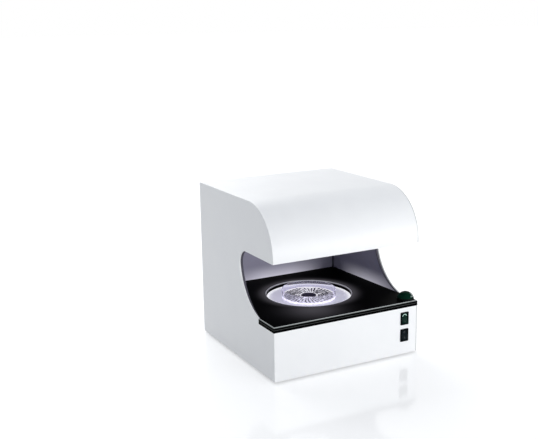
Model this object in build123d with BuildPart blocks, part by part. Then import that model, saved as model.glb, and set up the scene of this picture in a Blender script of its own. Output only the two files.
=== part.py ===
from build123d import *
from math import atan2, cos, degrees, hypot, radians, sin, sqrt
import os

# Bench colony counter: a powder coated sheet steel casing whose front is open on three sides, a two-layer
# black work plate with a lit well for a Petri dish, a camera looking down from the hood, and the boards,
# switches and dimmer that drive the lamps. Millimetres, +Z up, front towards -Y, origin on the bench under
# the middle of the casing.

# Casing
casing_width = 260.0
casing_depth = 262.0
casing_height = 263.0
side_sheet = 2.0
sheet = 1.5
base_sheet = 2.0
edge_round = 1.2
hood_radius = 77.5
lip_straight = 4.2
lip_return = 14.0
shelf_return = 5.0

# Cut-out in each side
apron_depth = 49.5
throat_depth = 113.0
cut_radius = 87.0
cut_corner = 23.0
seal_width = 1.5

# Work plate and well
plate_level = 85.6
plate_layer = 4.35
plate_bevel = 1.4
plate_deburr = 0.3
plate_side_gap = 0.3
plate_tail = 2.0
well_radius = 70.0
well_bevel = 1.4
well_offset = 2.5

# Inspection chamber
liner = 1.0
duct_depth = 21.5
chamber_taper = 9.3
corner_seam = 0.8
ceiling_upstand = 10.0

# Supports inside the casing
angle_leg = 12.0
nut_block = 10.0
block_inset = 18.0
rear_block_low = 30.0
rear_block_spacing = 90.0
rear_block_count = 3

# Diffuser and lower lamp
diffuser_thick = 2.5
diffuser_gap = 0.3
cup_flange_radius = 80.0
cup_radius = 66.0
cup_wall = 2.0
cup_depth = 32.0
cup_screw_radius = 75.0
cup_screw_count = 6
cup_screw_turn = 30.0
board_thick = 1.6
lower_board_inner = 44.0
lower_board_outer = 61.0
lower_led_radius = 53.0
lower_led_count = 24
led_size = 3.5
led_height = 1.2

# Upper lamp
ring_outer = 46.0
ring_inner = 20.0
ring_wall = 1.5
ring_height = 14.0
ring_window = 39.8
ring_diffuser_thick = 2.0
upper_led_radius = 32.0
upper_led_count = 16
ring_tab_length = 8.0
ring_tab_width = 10.0

# Camera and lens
bridge_rise = 32.0
bridge_half_width = 52.0
bridge_depth = 44.0
bridge_foot = 12.0
camera_size = 40.0
camera_height = 34.0
mount_collar_radius = 13.0
mount_collar_height = 3.0
barrel_radius = 12.0
barrel_length = 24.5
barrel_bore = 9.5
shoulder_radius = 13.2
shoulder_thick = 1.5
ring_grip_radius = 14.6
ring_groove_count = 30
ring_play = 0.3
running_fit = 0.05
iris_ring_height = 6.0
lens_cell_length = 20.0
lens_cell_wall = 1.4
lens_cell_proud = 3.0
glass_thick = 3.5

# Petri dish
dish_radius = 45.0
dish_height = 13.2
dish_wall = 1.2
agar_depth = 1.5
seat_gap = 0.3

# Rocker switches
switch_inset = 25.0
upper_switch_level = 59.2
lower_switch_level = 31.3
bezel_width = 15.0
bezel_height = 21.0
bezel_thick = 1.8
bezel_corner = 1.2
housing_width = 12.8
housing_height = 19.0
housing_depth = 20.0
panel_fit = 0.1
rocker_width = 10.4
rocker_length = 15.8
rocker_rise = 3.2
rocker_dish = 1.5
rocker_swing = 16.0
rocker_gap = 0.3
pivot_depth = 1.0
trunnion_radius = 1.25
pocket_depth = 9.0
blade_width = 4.8
blade_thick = 0.8
blade_length = 7.0
blade_pitch = 6.0

# Dimmer
knob_radius = 13.7
knob_height = 13.0
knob_skirt = 1.5
knob_gap = 0.4
knob_recess_radius = 8.0
knob_recess = 5.0
shaft_radius = 3.0
shaft_reach = 10.5
pot_radius = 8.0
pot_height = 6.5
bushing_radius = 3.6
bushing_rise = 4.4
pot_nut_size = 5.6
pot_nut_height = 2.2

# Boards, sockets and leads
standoff_height = 8.0
standoff_radius = 2.6
board_inset = 4.0
controller_width = 90.0
controller_depth = 70.0
controller_left = 105.0
driver_width = 60.0
driver_depth = 50.0
driver_x = 38.0
driver_y = 20.0
fin_count = 6
fin_height = 12.0
fin_thick = 1.5
usb_width = 12.0
usb_height = 11.0
usb_length = 16.0
usb_x = -40.0
jack_x = 60.0
jack_level = 25.0
jack_radius = 5.5
jack_collar_radius = 6.8
jack_length = 13.0
jack_bore = 3.2
jack_pin = 1.0
lead_radius = 1.6
lead_bend = 6.0
cable_step = 15.8
socket_gap = 0.3
vent_count = 9
vent_width = 3.0
vent_height = 40.0
vent_pitch = 10.0

# Feet and fasteners
foot_height = 3.0
foot_radius = 9.0
foot_inset = 26.0
screw_radius = 1.5
screw_clearance = 0.15
screw_head_radius = 2.75
screw_head = 1.8
screw_length = 8.0
nut_size = 3.2
nut_height = 2.4

# Levels and faces worked out from the sizes above
base_z = foot_height
floor_z = base_z + base_sheet
top_z = base_z + casing_height
side_x = casing_width / 2
inner_x = side_x - side_sheet
front_y = -casing_depth / 2
rear_y = casing_depth / 2
rear_inner_y = rear_y - sheet
hood_y = front_y + hood_radius
hood_z = top_z - hood_radius
lip_z = hood_z - lip_straight
ceiling_z = lip_z + sheet
ceiling_top_z = ceiling_z + sheet
plate_z = base_z + plate_level
plate_joint_z = plate_z - plate_layer
plate_under_z = plate_joint_z - plate_layer
apron_y = front_y + apron_depth
plate_back_y = rear_inner_y - duct_depth
back_wall_y = plate_back_y - plate_tail - liner
well_y = (front_y + plate_back_y) / 2 + well_offset
cut_y = front_y + throat_depth - cut_radius
cut_z = plate_z + sqrt(cut_radius**2 - (apron_y - cut_y) ** 2)
cut_top_y = cut_y + sqrt(cut_radius**2 - (lip_z - cut_z) ** 2)
cut_low_angle = degrees(atan2(plate_z - cut_z, apron_y - cut_y))
cut_high_angle = degrees(atan2(lip_z - cut_z, cut_top_y - cut_y))
corner_y = cut_y + sqrt((cut_radius - cut_corner) ** 2 - (lip_z - cut_corner - cut_z) ** 2)
chamber_half_back = inner_x - liner - chamber_taper
switch_x = side_x - switch_inset
upper_switch_z = base_z + upper_switch_level
lower_switch_z = base_z + lower_switch_level
knob_x = side_x - knob_radius
knob_y = front_y + knob_radius
knob_z = plate_z + knob_gap
board_z = floor_z + standoff_height
board_top_z = board_z + board_thick
jack_z = base_z + jack_level
sensor_z = ceiling_top_z + bridge_rise
barrel_foot_z = sensor_z - barrel_length
lens_foot_z = barrel_foot_z - lens_cell_proud
screw_hole = screw_radius + screw_clearance

# The side walls of the chamber lean in towards the back: a plane on each wall's outer face, right-hand side
taper_run = back_wall_y - apron_y
liner_outer = Plane(
    origin=(inner_x, apron_y, 0), x_dir=(-chamber_taper, taper_run, 0), z_dir=(taper_run, chamber_taper, 0)
)
liner_inner = liner_outer.offset(-liner)

# Stations of the screws, feet and boards
foot_points = [(x, y) for x in (foot_inset - side_x, side_x - foot_inset)
               for y in (front_y + foot_inset, rear_y - foot_inset)]
block_x = inner_x - nut_block / 2
base_block_points = [(x, y) for x in (-block_x, block_x)
                     for y in (front_y + sheet + block_inset, 0, rear_inner_y - nut_block - block_inset)]
rear_block_points = [(x, base_z + rear_block_low + step * rear_block_spacing) for x in (-block_x, block_x)
                     for step in range(rear_block_count)]
controller_x = controller_width / 2 - controller_left
controller_y = rear_inner_y - socket_gap - controller_depth / 2


well_axis = Axis((0, well_y, 0), (0, 0, 1))


def span_block(xs, ys, zs, mode=Mode.ADD):
    """A plain block between two corners, each axis given as (low, high)."""
    with Locations(((xs[0] + xs[1]) / 2, (ys[0] + ys[1]) / 2, (zs[0] + zs[1]) / 2)):
        Box(xs[1] - xs[0], ys[1] - ys[0], zs[1] - zs[0], mode=mode)


def upright(radius, low, high, mode=Mode.ADD):
    """A cylinder standing along z between two levels, at the current locations."""
    with Locations((0, 0, (low + high) / 2)):
        Cylinder(radius, high - low, mode=mode)


def turned_profile(points):
    """A closed outline of (radius, level) points, drawn upright through the well's axis for a revolve."""
    with BuildSketch(Plane(origin=(0, well_y, 0), x_dir=(1, 0, 0), z_dir=(0, -1, 0))) as profile:
        with BuildLine():
            Polyline(*points, close=True)
        make_face()
    return profile.sketch


def circle_stations(radius, count, turn):
    """Points spaced evenly on a circle round the well's axis."""
    steps = [radians(turn + 360 * step / count) for step in range(count)]
    return [(radius * cos(angle), well_y + radius * sin(angle)) for angle in steps]


# ---------------------------------------------------------------- casing

# The opening between hood and work plate, as seen from the side: y across, z up
with BuildSketch() as opening:
    with BuildLine():
        Polyline(
            (cut_top_y, lip_z),
            (front_y - apron_depth, lip_z),
            (front_y - apron_depth, plate_under_z),
            (apron_y, plate_under_z),
            (apron_y, plate_z),
        )
        CenterArc((cut_y, cut_z), cut_radius, cut_low_angle, cut_high_angle - cut_low_angle)
    make_face()
    fillet(opening.vertices().sort_by_distance((cut_top_y, lip_z))[0], cut_corner)

with BuildSketch() as side_view:
    with BuildLine():
        Polyline((front_y, hood_z), (front_y, base_z), (rear_y, base_z), (rear_y, top_z), (hood_y, top_z))
        CenterArc((hood_y, hood_z), hood_radius, 90, 90)
    make_face()
    add(opening, mode=Mode.SUBTRACT)

# The seal that closes the gap between a side sheet and the chamber wall behind it, all along the cut-out
with BuildSketch() as seal_view:
    add(opening)
    offset(amount=seal_width)
    add(opening, mode=Mode.SUBTRACT)
    add(side_view, mode=Mode.INTERSECT)
    with Locations((front_y, plate_z)):
        Rectangle(casing_depth, casing_height, align=(Align.CENTER, Align.MAX), mode=Mode.SUBTRACT)

with BuildPart() as right_side_panel:
    with BuildSketch(Plane.YZ.offset(inner_x)):
        add(side_view)
    extrude(amount=side_sheet)
    outer_edges = right_side_panel.faces().sort_by(Axis.X)[-1].outer_wire().edges()
    hood_edges = outer_edges.filter_by(lambda edge: edge.center().Z > lip_z and edge.length > sheet)
    upright_edges = outer_edges.filter_by(Axis.Z).filter_by(lambda edge: edge.length > angle_leg)
    rounded = (hood_edges + upright_edges).filter_by(
        lambda edge: edge.center().Z > ceiling_z or abs(edge.center().Y) > rear_y - sheet
    )
    fillet(ShapeList(set(rounded)), edge_round)

with BuildPart() as left_side_panel:
    mirror(right_side_panel.part, about=Plane.YZ)

with BuildPart() as cutout_seal_right:
    with BuildSketch(Plane.YZ.offset(inner_x)):
        add(seal_view)
    extrude(amount=-(chamber_taper + liner))
    split(bisect_by=liner_inner, keep=Keep.TOP)

with BuildPart() as cutout_seal_left:
    mirror(cutout_seal_right.part, about=Plane.YZ)

with BuildPart() as top_cover:
    with BuildSketch(Plane.YZ.offset(-inner_x)):
        with BuildLine():
            Line((rear_y, top_z - sheet), (rear_y, top_z))
            Line((rear_y, top_z), (hood_y, top_z))
            CenterArc((hood_y, hood_z), hood_radius, 90, 90)
            Polyline(
                (front_y, hood_z),
                (front_y, lip_z),
                (front_y + lip_return, lip_z),
                (front_y + lip_return, ceiling_z),
                (front_y + sheet, ceiling_z),
                (front_y + sheet, hood_z),
            )
            CenterArc((hood_y, hood_z), hood_radius - sheet, 180, -90)
            Line((hood_y, top_z - sheet), (rear_y, top_z - sheet))
        make_face()
    extrude(amount=2 * inner_x)

with BuildPart() as front_panel:
    span_block((-inner_x, inner_x), (front_y, front_y + sheet), (base_z, plate_under_z))
    span_block((-inner_x, inner_x), (front_y, front_y + shelf_return), (plate_under_z - sheet, plate_under_z))
    for switch_z in (upper_switch_z, lower_switch_z):
        with Locations((switch_x, front_y + sheet / 2, switch_z)):
            Box(housing_width + 2 * panel_fit, 2 * sheet, housing_height + 2 * panel_fit, mode=Mode.SUBTRACT)

with BuildPart() as rear_panel:
    span_block((-inner_x, inner_x), (rear_inner_y, rear_y), (base_z, top_z - sheet))
    with BuildSketch(Plane(origin=(0, rear_y, 0), x_dir=(1, 0, 0), z_dir=(0, -1, 0))):
        with Locations((usb_x, board_top_z + usb_height / 2)):
            Rectangle(usb_width + 2 * socket_gap, usb_height + 2 * socket_gap)
        with Locations((jack_x, jack_z)):
            Circle(jack_radius + panel_fit)
        with Locations((0, (ceiling_top_z + top_z) / 2)):
            with GridLocations(vent_pitch, 1, vent_count, 1):
                SlotOverall(vent_height, vent_width, rotation=90)
        with Locations(*rear_block_points):
            Circle(screw_hole)
    extrude(amount=sheet, mode=Mode.SUBTRACT)

with BuildPart() as base_plate:
    span_block((-inner_x, inner_x), (front_y + sheet, rear_inner_y), (base_z, floor_z))
    with Locations(*foot_points, *base_block_points):
        upright(screw_hole, base_z, floor_z, mode=Mode.SUBTRACT)
    with BuildSketch(Plane.XY.offset(base_z)):
        with Locations((0, well_y)):
            with GridLocations(vent_pitch, 1, vent_count, 1):
                SlotOverall(vent_height, vent_width, rotation=90)
    extrude(amount=base_sheet, mode=Mode.SUBTRACT)

with BuildPart() as nut_blocks:
    for x, y in base_block_points:
        with Locations((x, y, floor_z + nut_block / 2)):
            Box(nut_block, nut_block, nut_block)
        with Locations((x, y, 0)):
            upright(screw_radius, floor_z, floor_z + nut_block, mode=Mode.SUBTRACT)
    for x, z in rear_block_points:
        with Locations((x, rear_inner_y - nut_block / 2, z)):
            Box(nut_block, nut_block, nut_block)
            Cylinder(screw_radius, nut_block, rotation=(90, 0, 0), mode=Mode.SUBTRACT)

with BuildPart() as casing_screws:
    for x, y in base_block_points:
        with Locations((x, y, 0)):
            upright(screw_head_radius, base_z - screw_head, base_z)
            upright(screw_radius, base_z, base_z + screw_length)
    for x, z in rear_block_points:
        with Locations((x, rear_y + screw_head / 2, z)):
            Cylinder(screw_head_radius, screw_head, rotation=(90, 0, 0))
        with Locations((x, rear_y - screw_length / 2, z)):
            Cylinder(screw_radius, screw_length, rotation=(90, 0, 0))

# ---------------------------------------------------------------- supports under the work plate

ledge_front_y = knob_y + pot_radius + angle_leg
rail_y = plate_back_y - angle_leg

with BuildPart() as plate_ledge_right:
    span_block((inner_x - angle_leg, inner_x), (ledge_front_y, rail_y), (plate_under_z - sheet, plate_under_z))
    span_block((inner_x - sheet, inner_x), (ledge_front_y, rail_y), (plate_under_z - angle_leg, plate_under_z))

with BuildPart() as plate_ledge_left:
    mirror(plate_ledge_right.part, about=Plane.YZ)

with BuildPart() as rear_cross_rail:
    span_block((-inner_x, inner_x), (rail_y, plate_back_y), (plate_under_z - sheet, plate_under_z))
    span_block((-inner_x, inner_x), (plate_back_y - sheet, plate_back_y),
               (plate_under_z - angle_leg, plate_under_z))

# ---------------------------------------------------------------- work plate


# Full width in front of the side sheets, narrower between them
plate_half = inner_x - plate_side_gap
step_y = apron_y - plate_side_gap
with BuildSketch() as plate_view:
    with BuildLine():
        Polyline(
            (-side_x, front_y), (side_x, front_y), (side_x, step_y), (plate_half, step_y),
            (plate_half, plate_back_y), (-plate_half, plate_back_y), (-plate_half, step_y), (-side_x, step_y),
            close=True,
        )
    make_face()
    with Locations((0, well_y)):
        Circle(well_radius, mode=Mode.SUBTRACT)
    with Locations((knob_x, knob_y)):
        Circle(bushing_radius + panel_fit, mode=Mode.SUBTRACT)

with BuildPart() as work_plate_top:
    with BuildSketch(Plane.XY.offset(plate_joint_z)):
        add(plate_view)
    extrude(amount=plate_layer)
    upper_face = work_plate_top.faces().sort_by(Axis.Z)[-1]
    chamfer(upper_face.edges().filter_by(GeomType.CIRCLE).sort_by(SortBy.RADIUS)[-1], well_bevel)
    rim = work_plate_top.faces().sort_by(Axis.Z)[-1].outer_wire().edges()
    chamfer(rim.filter_by(lambda edge: edge.center().Y < apron_y - sheet), plate_bevel)
    rim = work_plate_top.faces().sort_by(Axis.Z)[0].outer_wire().edges()
    chamfer(rim.filter_by(lambda edge: edge.center().Y < apron_y - sheet), plate_deburr)

cup_screw_points = circle_stations(cup_screw_radius, cup_screw_count, turn=cup_screw_turn)

with BuildPart() as work_plate_under:
    with BuildSketch(Plane.XY.offset(plate_under_z)):
        add(plate_view)
    extrude(amount=plate_layer)
    rim = work_plate_under.faces().sort_by(Axis.Z)[-1].outer_wire().edges()
    chamfer(rim.filter_by(lambda edge: edge.center().Y < apron_y - sheet), plate_deburr)
    with Locations(*cup_screw_points):
        upright(screw_radius, plate_under_z, plate_under_z + plate_layer, mode=Mode.SUBTRACT)

# ---------------------------------------------------------------- inspection chamber

with BuildPart() as chamber_right_wall:
    with BuildSketch(Plane.YZ.offset(inner_x)):
        with BuildLine():
            Polyline(
                (apron_y, plate_z), (back_wall_y - corner_seam, plate_z),
                (back_wall_y - corner_seam, ceiling_z), (corner_y, ceiling_z), (corner_y, lip_z),
                (apron_y, lip_z), close=True,
            )
        make_face()
        add(opening, mode=Mode.SUBTRACT)
        add(seal_view, mode=Mode.SUBTRACT)
    extrude(amount=-(chamber_taper + 2 * liner))
    split(bisect_by=liner_outer, keep=Keep.BOTTOM)
    split(bisect_by=liner_inner, keep=Keep.TOP)

with BuildPart() as chamber_left_wall:
    mirror(chamber_right_wall.part, about=Plane.YZ)

with BuildPart() as chamber_back_wall:
    span_block((-inner_x, inner_x), (back_wall_y, back_wall_y + liner), (plate_z, ceiling_z))

with BuildPart() as chamber_ceiling:
    ceiling_span = (front_y + sheet, back_wall_y + liner)
    span_block((-inner_x, inner_x), ceiling_span, (ceiling_z, ceiling_top_z))
    for low, high in ((-inner_x, sheet - inner_x), (inner_x - sheet, inner_x)):
        span_block((low, high), (front_y + lip_return, ceiling_span[1]), (ceiling_z, ceiling_z + ceiling_upstand))
    with Locations((0, well_y)):
        upright(ring_window, ceiling_z, ceiling_top_z, mode=Mode.SUBTRACT)

# ---------------------------------------------------------------- diffuser and lower lamp

cup_flange_z = plate_under_z - cup_wall
cup_floor_z = plate_under_z - cup_depth

with BuildPart() as diffuser_disc:
    with Locations((0, well_y)):
        upright(well_radius - diffuser_gap, plate_under_z, plate_under_z + diffuser_thick)

with BuildPart() as light_cup:
    add(turned_profile([
        (0, cup_floor_z - cup_wall), (cup_radius, cup_floor_z - cup_wall), (cup_radius, cup_flange_z),
        (cup_flange_radius, cup_flange_z), (cup_flange_radius, plate_under_z),
        (cup_radius - cup_wall, plate_under_z), (cup_radius - cup_wall, cup_floor_z), (0, cup_floor_z),
    ]))
    revolve(axis=well_axis)
    with Locations(*cup_screw_points):
        upright(screw_hole, cup_flange_z, plate_under_z, mode=Mode.SUBTRACT)

with BuildPart() as light_cup_screws:
    with Locations(*cup_screw_points):
        upright(screw_head_radius, cup_flange_z - screw_head, cup_flange_z)
        upright(screw_radius, cup_flange_z, cup_flange_z + cup_wall + plate_layer / 2)

with BuildPart() as lower_led_board:
    with Locations((0, well_y)):
        upright(lower_board_outer, cup_floor_z, cup_floor_z + board_thick)
        upright(lower_board_inner, cup_floor_z, cup_floor_z + board_thick, mode=Mode.SUBTRACT)

with BuildPart() as lower_leds:
    with Locations((0, well_y, cup_floor_z + board_thick + led_height / 2)):
        with PolarLocations(lower_led_radius, lower_led_count):
            Box(led_size, led_size, led_height)

# ---------------------------------------------------------------- upper lamp

ring_top_z = ceiling_top_z + ring_height
upper_board_z = ring_top_z - ring_wall - board_thick

with BuildPart() as ring_light_housing:
    add(turned_profile([
        (ring_inner, ceiling_z), (ring_inner + ring_wall, ceiling_z),
        (ring_inner + ring_wall, ring_top_z - ring_wall), (ring_outer - ring_wall, ring_top_z - ring_wall),
        (ring_outer - ring_wall, ceiling_top_z), (ring_outer, ceiling_top_z), (ring_outer, ring_top_z),
        (ring_inner, ring_top_z),
    ]))
    revolve(axis=well_axis)
    for end in (-1, 1):
        near, far = sorted((end * (ring_outer - ring_wall / 2), end * (ring_outer + ring_tab_length)))
        with Locations((0, well_y, 0)):
            span_block((-ring_tab_width / 2, ring_tab_width / 2), (near, far),
                       (ceiling_top_z, ceiling_top_z + ring_wall))

with BuildPart() as ring_light_diffuser:
    with Locations((0, well_y)):
        upright(ring_outer - ring_wall - panel_fit, ceiling_top_z, ceiling_top_z + ring_diffuser_thick)
        upright(ring_inner + ring_wall + panel_fit, ceiling_top_z, ceiling_top_z + ring_diffuser_thick,
                mode=Mode.SUBTRACT)

with BuildPart() as ring_light_board:
    with Locations((0, well_y)):
        upright(ring_outer - ring_wall - panel_fit, upper_board_z, upper_board_z + board_thick)
        upright(ring_inner + ring_wall + panel_fit, upper_board_z, upper_board_z + board_thick,
                mode=Mode.SUBTRACT)

with BuildPart() as ring_light_leds:
    with Locations((0, well_y, upper_board_z - led_height / 2)):
        with PolarLocations(upper_led_radius, upper_led_count):
            Box(led_size, led_size, led_height)

# ---------------------------------------------------------------- camera and lens

bridge_ys = (well_y - bridge_depth / 2, well_y + bridge_depth / 2)
bridge_screw_points = [(x, y) for x in (-bridge_half_width - bridge_foot / 2, bridge_half_width + bridge_foot / 2)
                       for y in (bridge_ys[0] + bridge_foot / 2, bridge_ys[1] - bridge_foot / 2)]

with BuildPart() as camera_bridge:
    with BuildSketch(Plane(origin=(0, bridge_ys[0], 0), x_dir=(1, 0, 0), z_dir=(0, -1, 0))):
        with BuildLine():
            outer_half = bridge_half_width
            inner_half = bridge_half_width - sheet
            toe = bridge_half_width + bridge_foot
            Polyline(
                (-toe, ceiling_top_z), (-inner_half, ceiling_top_z), (-inner_half, sensor_z - sheet),
                (inner_half, sensor_z - sheet), (inner_half, ceiling_top_z), (toe, ceiling_top_z),
                (toe, ceiling_top_z + sheet), (outer_half, ceiling_top_z + sheet), (outer_half, sensor_z),
                (-outer_half, sensor_z), (-outer_half, ceiling_top_z + sheet), (-toe, ceiling_top_z + sheet),
                close=True,
            )
        make_face()
    extrude(amount=-bridge_depth)
    with Locations((0, well_y)):
        upright(mount_collar_radius + socket_gap, sensor_z - sheet, sensor_z, mode=Mode.SUBTRACT)

with BuildPart() as bridge_screws:
    with Locations(*bridge_screw_points):
        upright(screw_head_radius, ceiling_top_z + sheet, ceiling_top_z + sheet + screw_head)

with BuildPart() as camera_body:
    with BuildSketch(Plane.XY.offset(sensor_z)):
        with Locations((0, well_y)):
            RectangleRounded(camera_size, camera_size, bezel_corner)
    extrude(amount=camera_height)
    fillet(camera_body.faces().sort_by(Axis.Z)[-1].edges(), edge_round / 2)

shoulder_z = barrel_foot_z + shoulder_thick
iris_foot_z = sensor_z - mount_collar_height - ring_play - iris_ring_height
mid_shoulder_z = iris_foot_z - ring_play - shoulder_thick

with BuildPart() as lens_barrel:
    add(turned_profile([
        (barrel_bore, barrel_foot_z), (shoulder_radius, barrel_foot_z), (shoulder_radius, shoulder_z),
        (barrel_radius, shoulder_z), (barrel_radius, mid_shoulder_z), (shoulder_radius, mid_shoulder_z),
        (shoulder_radius, mid_shoulder_z + shoulder_thick), (barrel_radius, mid_shoulder_z + shoulder_thick),
        (barrel_radius, sensor_z - mount_collar_height), (mount_collar_radius, sensor_z - mount_collar_height),
        (mount_collar_radius, sensor_z), (barrel_bore, sensor_z),
    ]))
    revolve(axis=well_axis)


def grip_ring(low, high):
    """A knurled ring that turns on the barrel between two levels."""
    with Locations((0, well_y)):
        upright(ring_grip_radius, low, high)
        upright(barrel_radius + running_fit, low, high, mode=Mode.SUBTRACT)
    with Locations((0, well_y, (low + high) / 2)):
        with PolarLocations(ring_grip_radius, ring_groove_count):
            Box(shoulder_thick / 2, shoulder_thick / 2, high - low, mode=Mode.SUBTRACT)


with BuildPart() as iris_ring:
    grip_ring(iris_foot_z, iris_foot_z + iris_ring_height)

with BuildPart() as focus_ring:
    grip_ring(shoulder_z + ring_play, mid_shoulder_z - ring_play)

cell_radius = barrel_bore - running_fit
cell_bore = cell_radius - lens_cell_wall
with BuildPart() as lens_cell:
    add(turned_profile([
        (cell_bore, lens_foot_z), (cell_radius, lens_foot_z), (cell_radius, lens_foot_z + lens_cell_length),
        (cell_bore, lens_foot_z + lens_cell_length),
    ]))
    revolve(axis=well_axis)

with BuildPart() as lens_glasses:
    with Locations((0, well_y)):
        for low in (lens_foot_z + lens_cell_wall, lens_foot_z + lens_cell_length - glass_thick - lens_cell_wall):
            upright(cell_bore, low, low + glass_thick)

# ---------------------------------------------------------------- Petri dish

dish_foot_z = plate_under_z + diffuser_thick + seat_gap
dish_floor_z = dish_foot_z + dish_wall

with BuildPart() as petri_dish:
    add(turned_profile([
        (0, dish_foot_z), (dish_radius, dish_foot_z), (dish_radius, dish_foot_z + dish_height),
        (dish_radius - dish_wall, dish_foot_z + dish_height), (dish_radius - dish_wall, dish_floor_z),
        (0, dish_floor_z),
    ]))
    revolve(axis=well_axis)

with BuildPart() as agar:
    with Locations((0, well_y)):
        upright(dish_radius - dish_wall, dish_floor_z, dish_floor_z + agar_depth)

# ---------------------------------------------------------------- rocker switches

pocket_half = hypot(rocker_length / 2, rocker_rise) + rocker_gap
rear_of_housing = front_y + housing_depth


def switch_housing(level):
    """The moulded frame: a bezel in front of the panel and a pocketed body behind it."""
    face = Plane(origin=(switch_x, front_y, level), x_dir=(1, 0, 0), z_dir=(0, -1, 0))
    with BuildPart() as housing:
        with BuildSketch(face):
            RectangleRounded(bezel_width, bezel_height, bezel_corner)
        extrude(amount=bezel_thick)
        fillet(housing.faces().sort_by(Axis.Y)[0].edges(), bezel_thick / 3)
        with BuildSketch(face):
            Rectangle(housing_width, housing_height)
        extrude(amount=-housing_depth)
        with BuildSketch(face.offset(bezel_thick)):
            Rectangle(rocker_width + 2 * rocker_gap, 2 * pocket_half)
        extrude(amount=-(bezel_thick + pocket_depth), mode=Mode.SUBTRACT)
        with Locations((switch_x, front_y + pivot_depth, level)):
            Cylinder(trunnion_radius + running_fit, housing_width, rotation=(0, 90, 0), mode=Mode.SUBTRACT)
    return housing


def switch_rocker(level):
    """The rocker, drawn square to its own face and leant back by half its swing, upper end pressed in."""
    lean = radians(rocker_swing / 2)
    tilted = Plane(
        origin=(switch_x, front_y + pivot_depth, level), x_dir=(0, -cos(lean), sin(lean)), z_dir=(1, 0, 0)
    )
    half = rocker_length / 2
    with BuildPart() as rocker:
        with BuildSketch(tilted):
            with BuildLine():
                Polyline(
                    (rocker_rise, -half), (trunnion_radius / 2, -half),
                    (-2 * trunnion_radius, -2 * trunnion_radius), (-2 * trunnion_radius, 2 * trunnion_radius),
                    (trunnion_radius / 2, half), (rocker_rise, half),
                )
                ThreePointArc((rocker_rise, half), (rocker_rise - rocker_dish, 0), (rocker_rise, -half))
            make_face()
        extrude(amount=rocker_width / 2, both=True)
        with BuildSketch(tilted):
            Circle(trunnion_radius)
        extrude(amount=housing_width / 2, both=True)
    return rocker


power_switch_housing = switch_housing(lower_switch_z)
light_switch_housing = switch_housing(upper_switch_z)
power_rocker = switch_rocker(lower_switch_z)
light_rocker = switch_rocker(upper_switch_z)

with BuildPart() as switch_blades:
    for level in (lower_switch_z, upper_switch_z):
        for step in (-1, 0, 1):
            with Locations((switch_x, rear_of_housing + blade_length / 2, level + step * blade_pitch)):
                Box(blade_width, blade_length, blade_thick)

# ---------------------------------------------------------------- dimmer

knob_cap = knob_height - knob_skirt
dome_radius = (knob_radius**2 + knob_cap**2) / (2 * knob_cap)
dome_z = knob_z + knob_height - dome_radius
shaft_top_z = knob_z + shaft_reach
pot_floor_z = plate_under_z - pot_height

with BuildPart() as dimmer_knob:
    with BuildSketch(Plane(origin=(knob_x, knob_y, 0), x_dir=(1, 0, 0), z_dir=(0, -1, 0))):
        with BuildLine():
            dome_angle = degrees(atan2(knob_z + knob_skirt - dome_z, knob_radius))
            CenterArc((0, dome_z), dome_radius, dome_angle, 90 - dome_angle)
            Polyline(
                (0, knob_z + knob_height), (0, shaft_top_z), (shaft_radius, shaft_top_z),
                (shaft_radius, knob_z + knob_recess), (knob_recess_radius, knob_z + knob_recess),
                (knob_recess_radius, knob_z), (knob_radius, knob_z), (knob_radius, knob_z + knob_skirt),
            )
        make_face()
    revolve(axis=Axis((knob_x, knob_y, 0), (0, 0, 1)))

with BuildPart() as dimmer_shaft:
    with Locations((knob_x, knob_y)):
        upright(shaft_radius, pot_floor_z + sheet, shaft_top_z)

with BuildPart() as dimmer_pot:
    with Locations((knob_x, knob_y)):
        upright(pot_radius, pot_floor_z, plate_under_z)
        upright(bushing_radius, plate_under_z, plate_z + bushing_rise)
        upright(shaft_radius + running_fit, pot_floor_z + sheet - ring_play, plate_z + bushing_rise,
                mode=Mode.SUBTRACT)
    for step in (-1, 0, 1):
        with Locations((knob_x + step * blade_width, knob_y + pot_radius, pot_floor_z + sheet)):
            Box(sheet, blade_length, blade_thick)

with BuildPart() as dimmer_nut:
    with BuildSketch(Plane.XY.offset(plate_z)):
        with Locations((knob_x, knob_y)):
            RegularPolygon(pot_nut_size, 6, major_radius=False)
            Circle(bushing_radius, mode=Mode.SUBTRACT)
    extrude(amount=pot_nut_height)

# ---------------------------------------------------------------- boards, sockets and leads


def board_corners(x, y, width, depth):
    """The four screw stations of a board, each set in from its edges."""
    along, across = width / 2 - board_inset, depth / 2 - board_inset
    return [(x + i * along, y + j * across) for i in (-1, 1) for j in (-1, 1)]


controller_corners = board_corners(controller_x, controller_y, controller_width, controller_depth)
driver_corners = board_corners(driver_x, driver_y, driver_width, driver_depth)


def circuit_board(x, y, width, depth, corners):
    """A glass-fibre board lying on its stand-offs."""
    with BuildPart() as board:
        with Locations((x, y, board_z + board_thick / 2)):
            Box(width, depth, board_thick)
        with Locations(*corners):
            upright(screw_radius, board_z, board_top_z, mode=Mode.SUBTRACT)
    return board


controller_board = circuit_board(controller_x, controller_y, controller_width, controller_depth,
                                 controller_corners)
driver_board = circuit_board(driver_x, driver_y, driver_width, driver_depth, driver_corners)

with BuildPart() as board_standoffs:
    with Locations(*controller_corners, *driver_corners):
        upright(standoff_radius, floor_z, board_z)
        upright(screw_radius, board_z, board_top_z)
        upright(standoff_radius, board_top_z, board_top_z + screw_head)

camera_plug_x = controller_x + controller_width / 4
lamp_plug_x = driver_x - driver_width / 4
plug_size = 2 * lead_radius + 2 * board_thick
duct_y = (plate_back_y + rear_inner_y) / 2
camera_plug_y = duct_y - cable_step
lamp_plug_y = driver_y + driver_depth / 4

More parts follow.
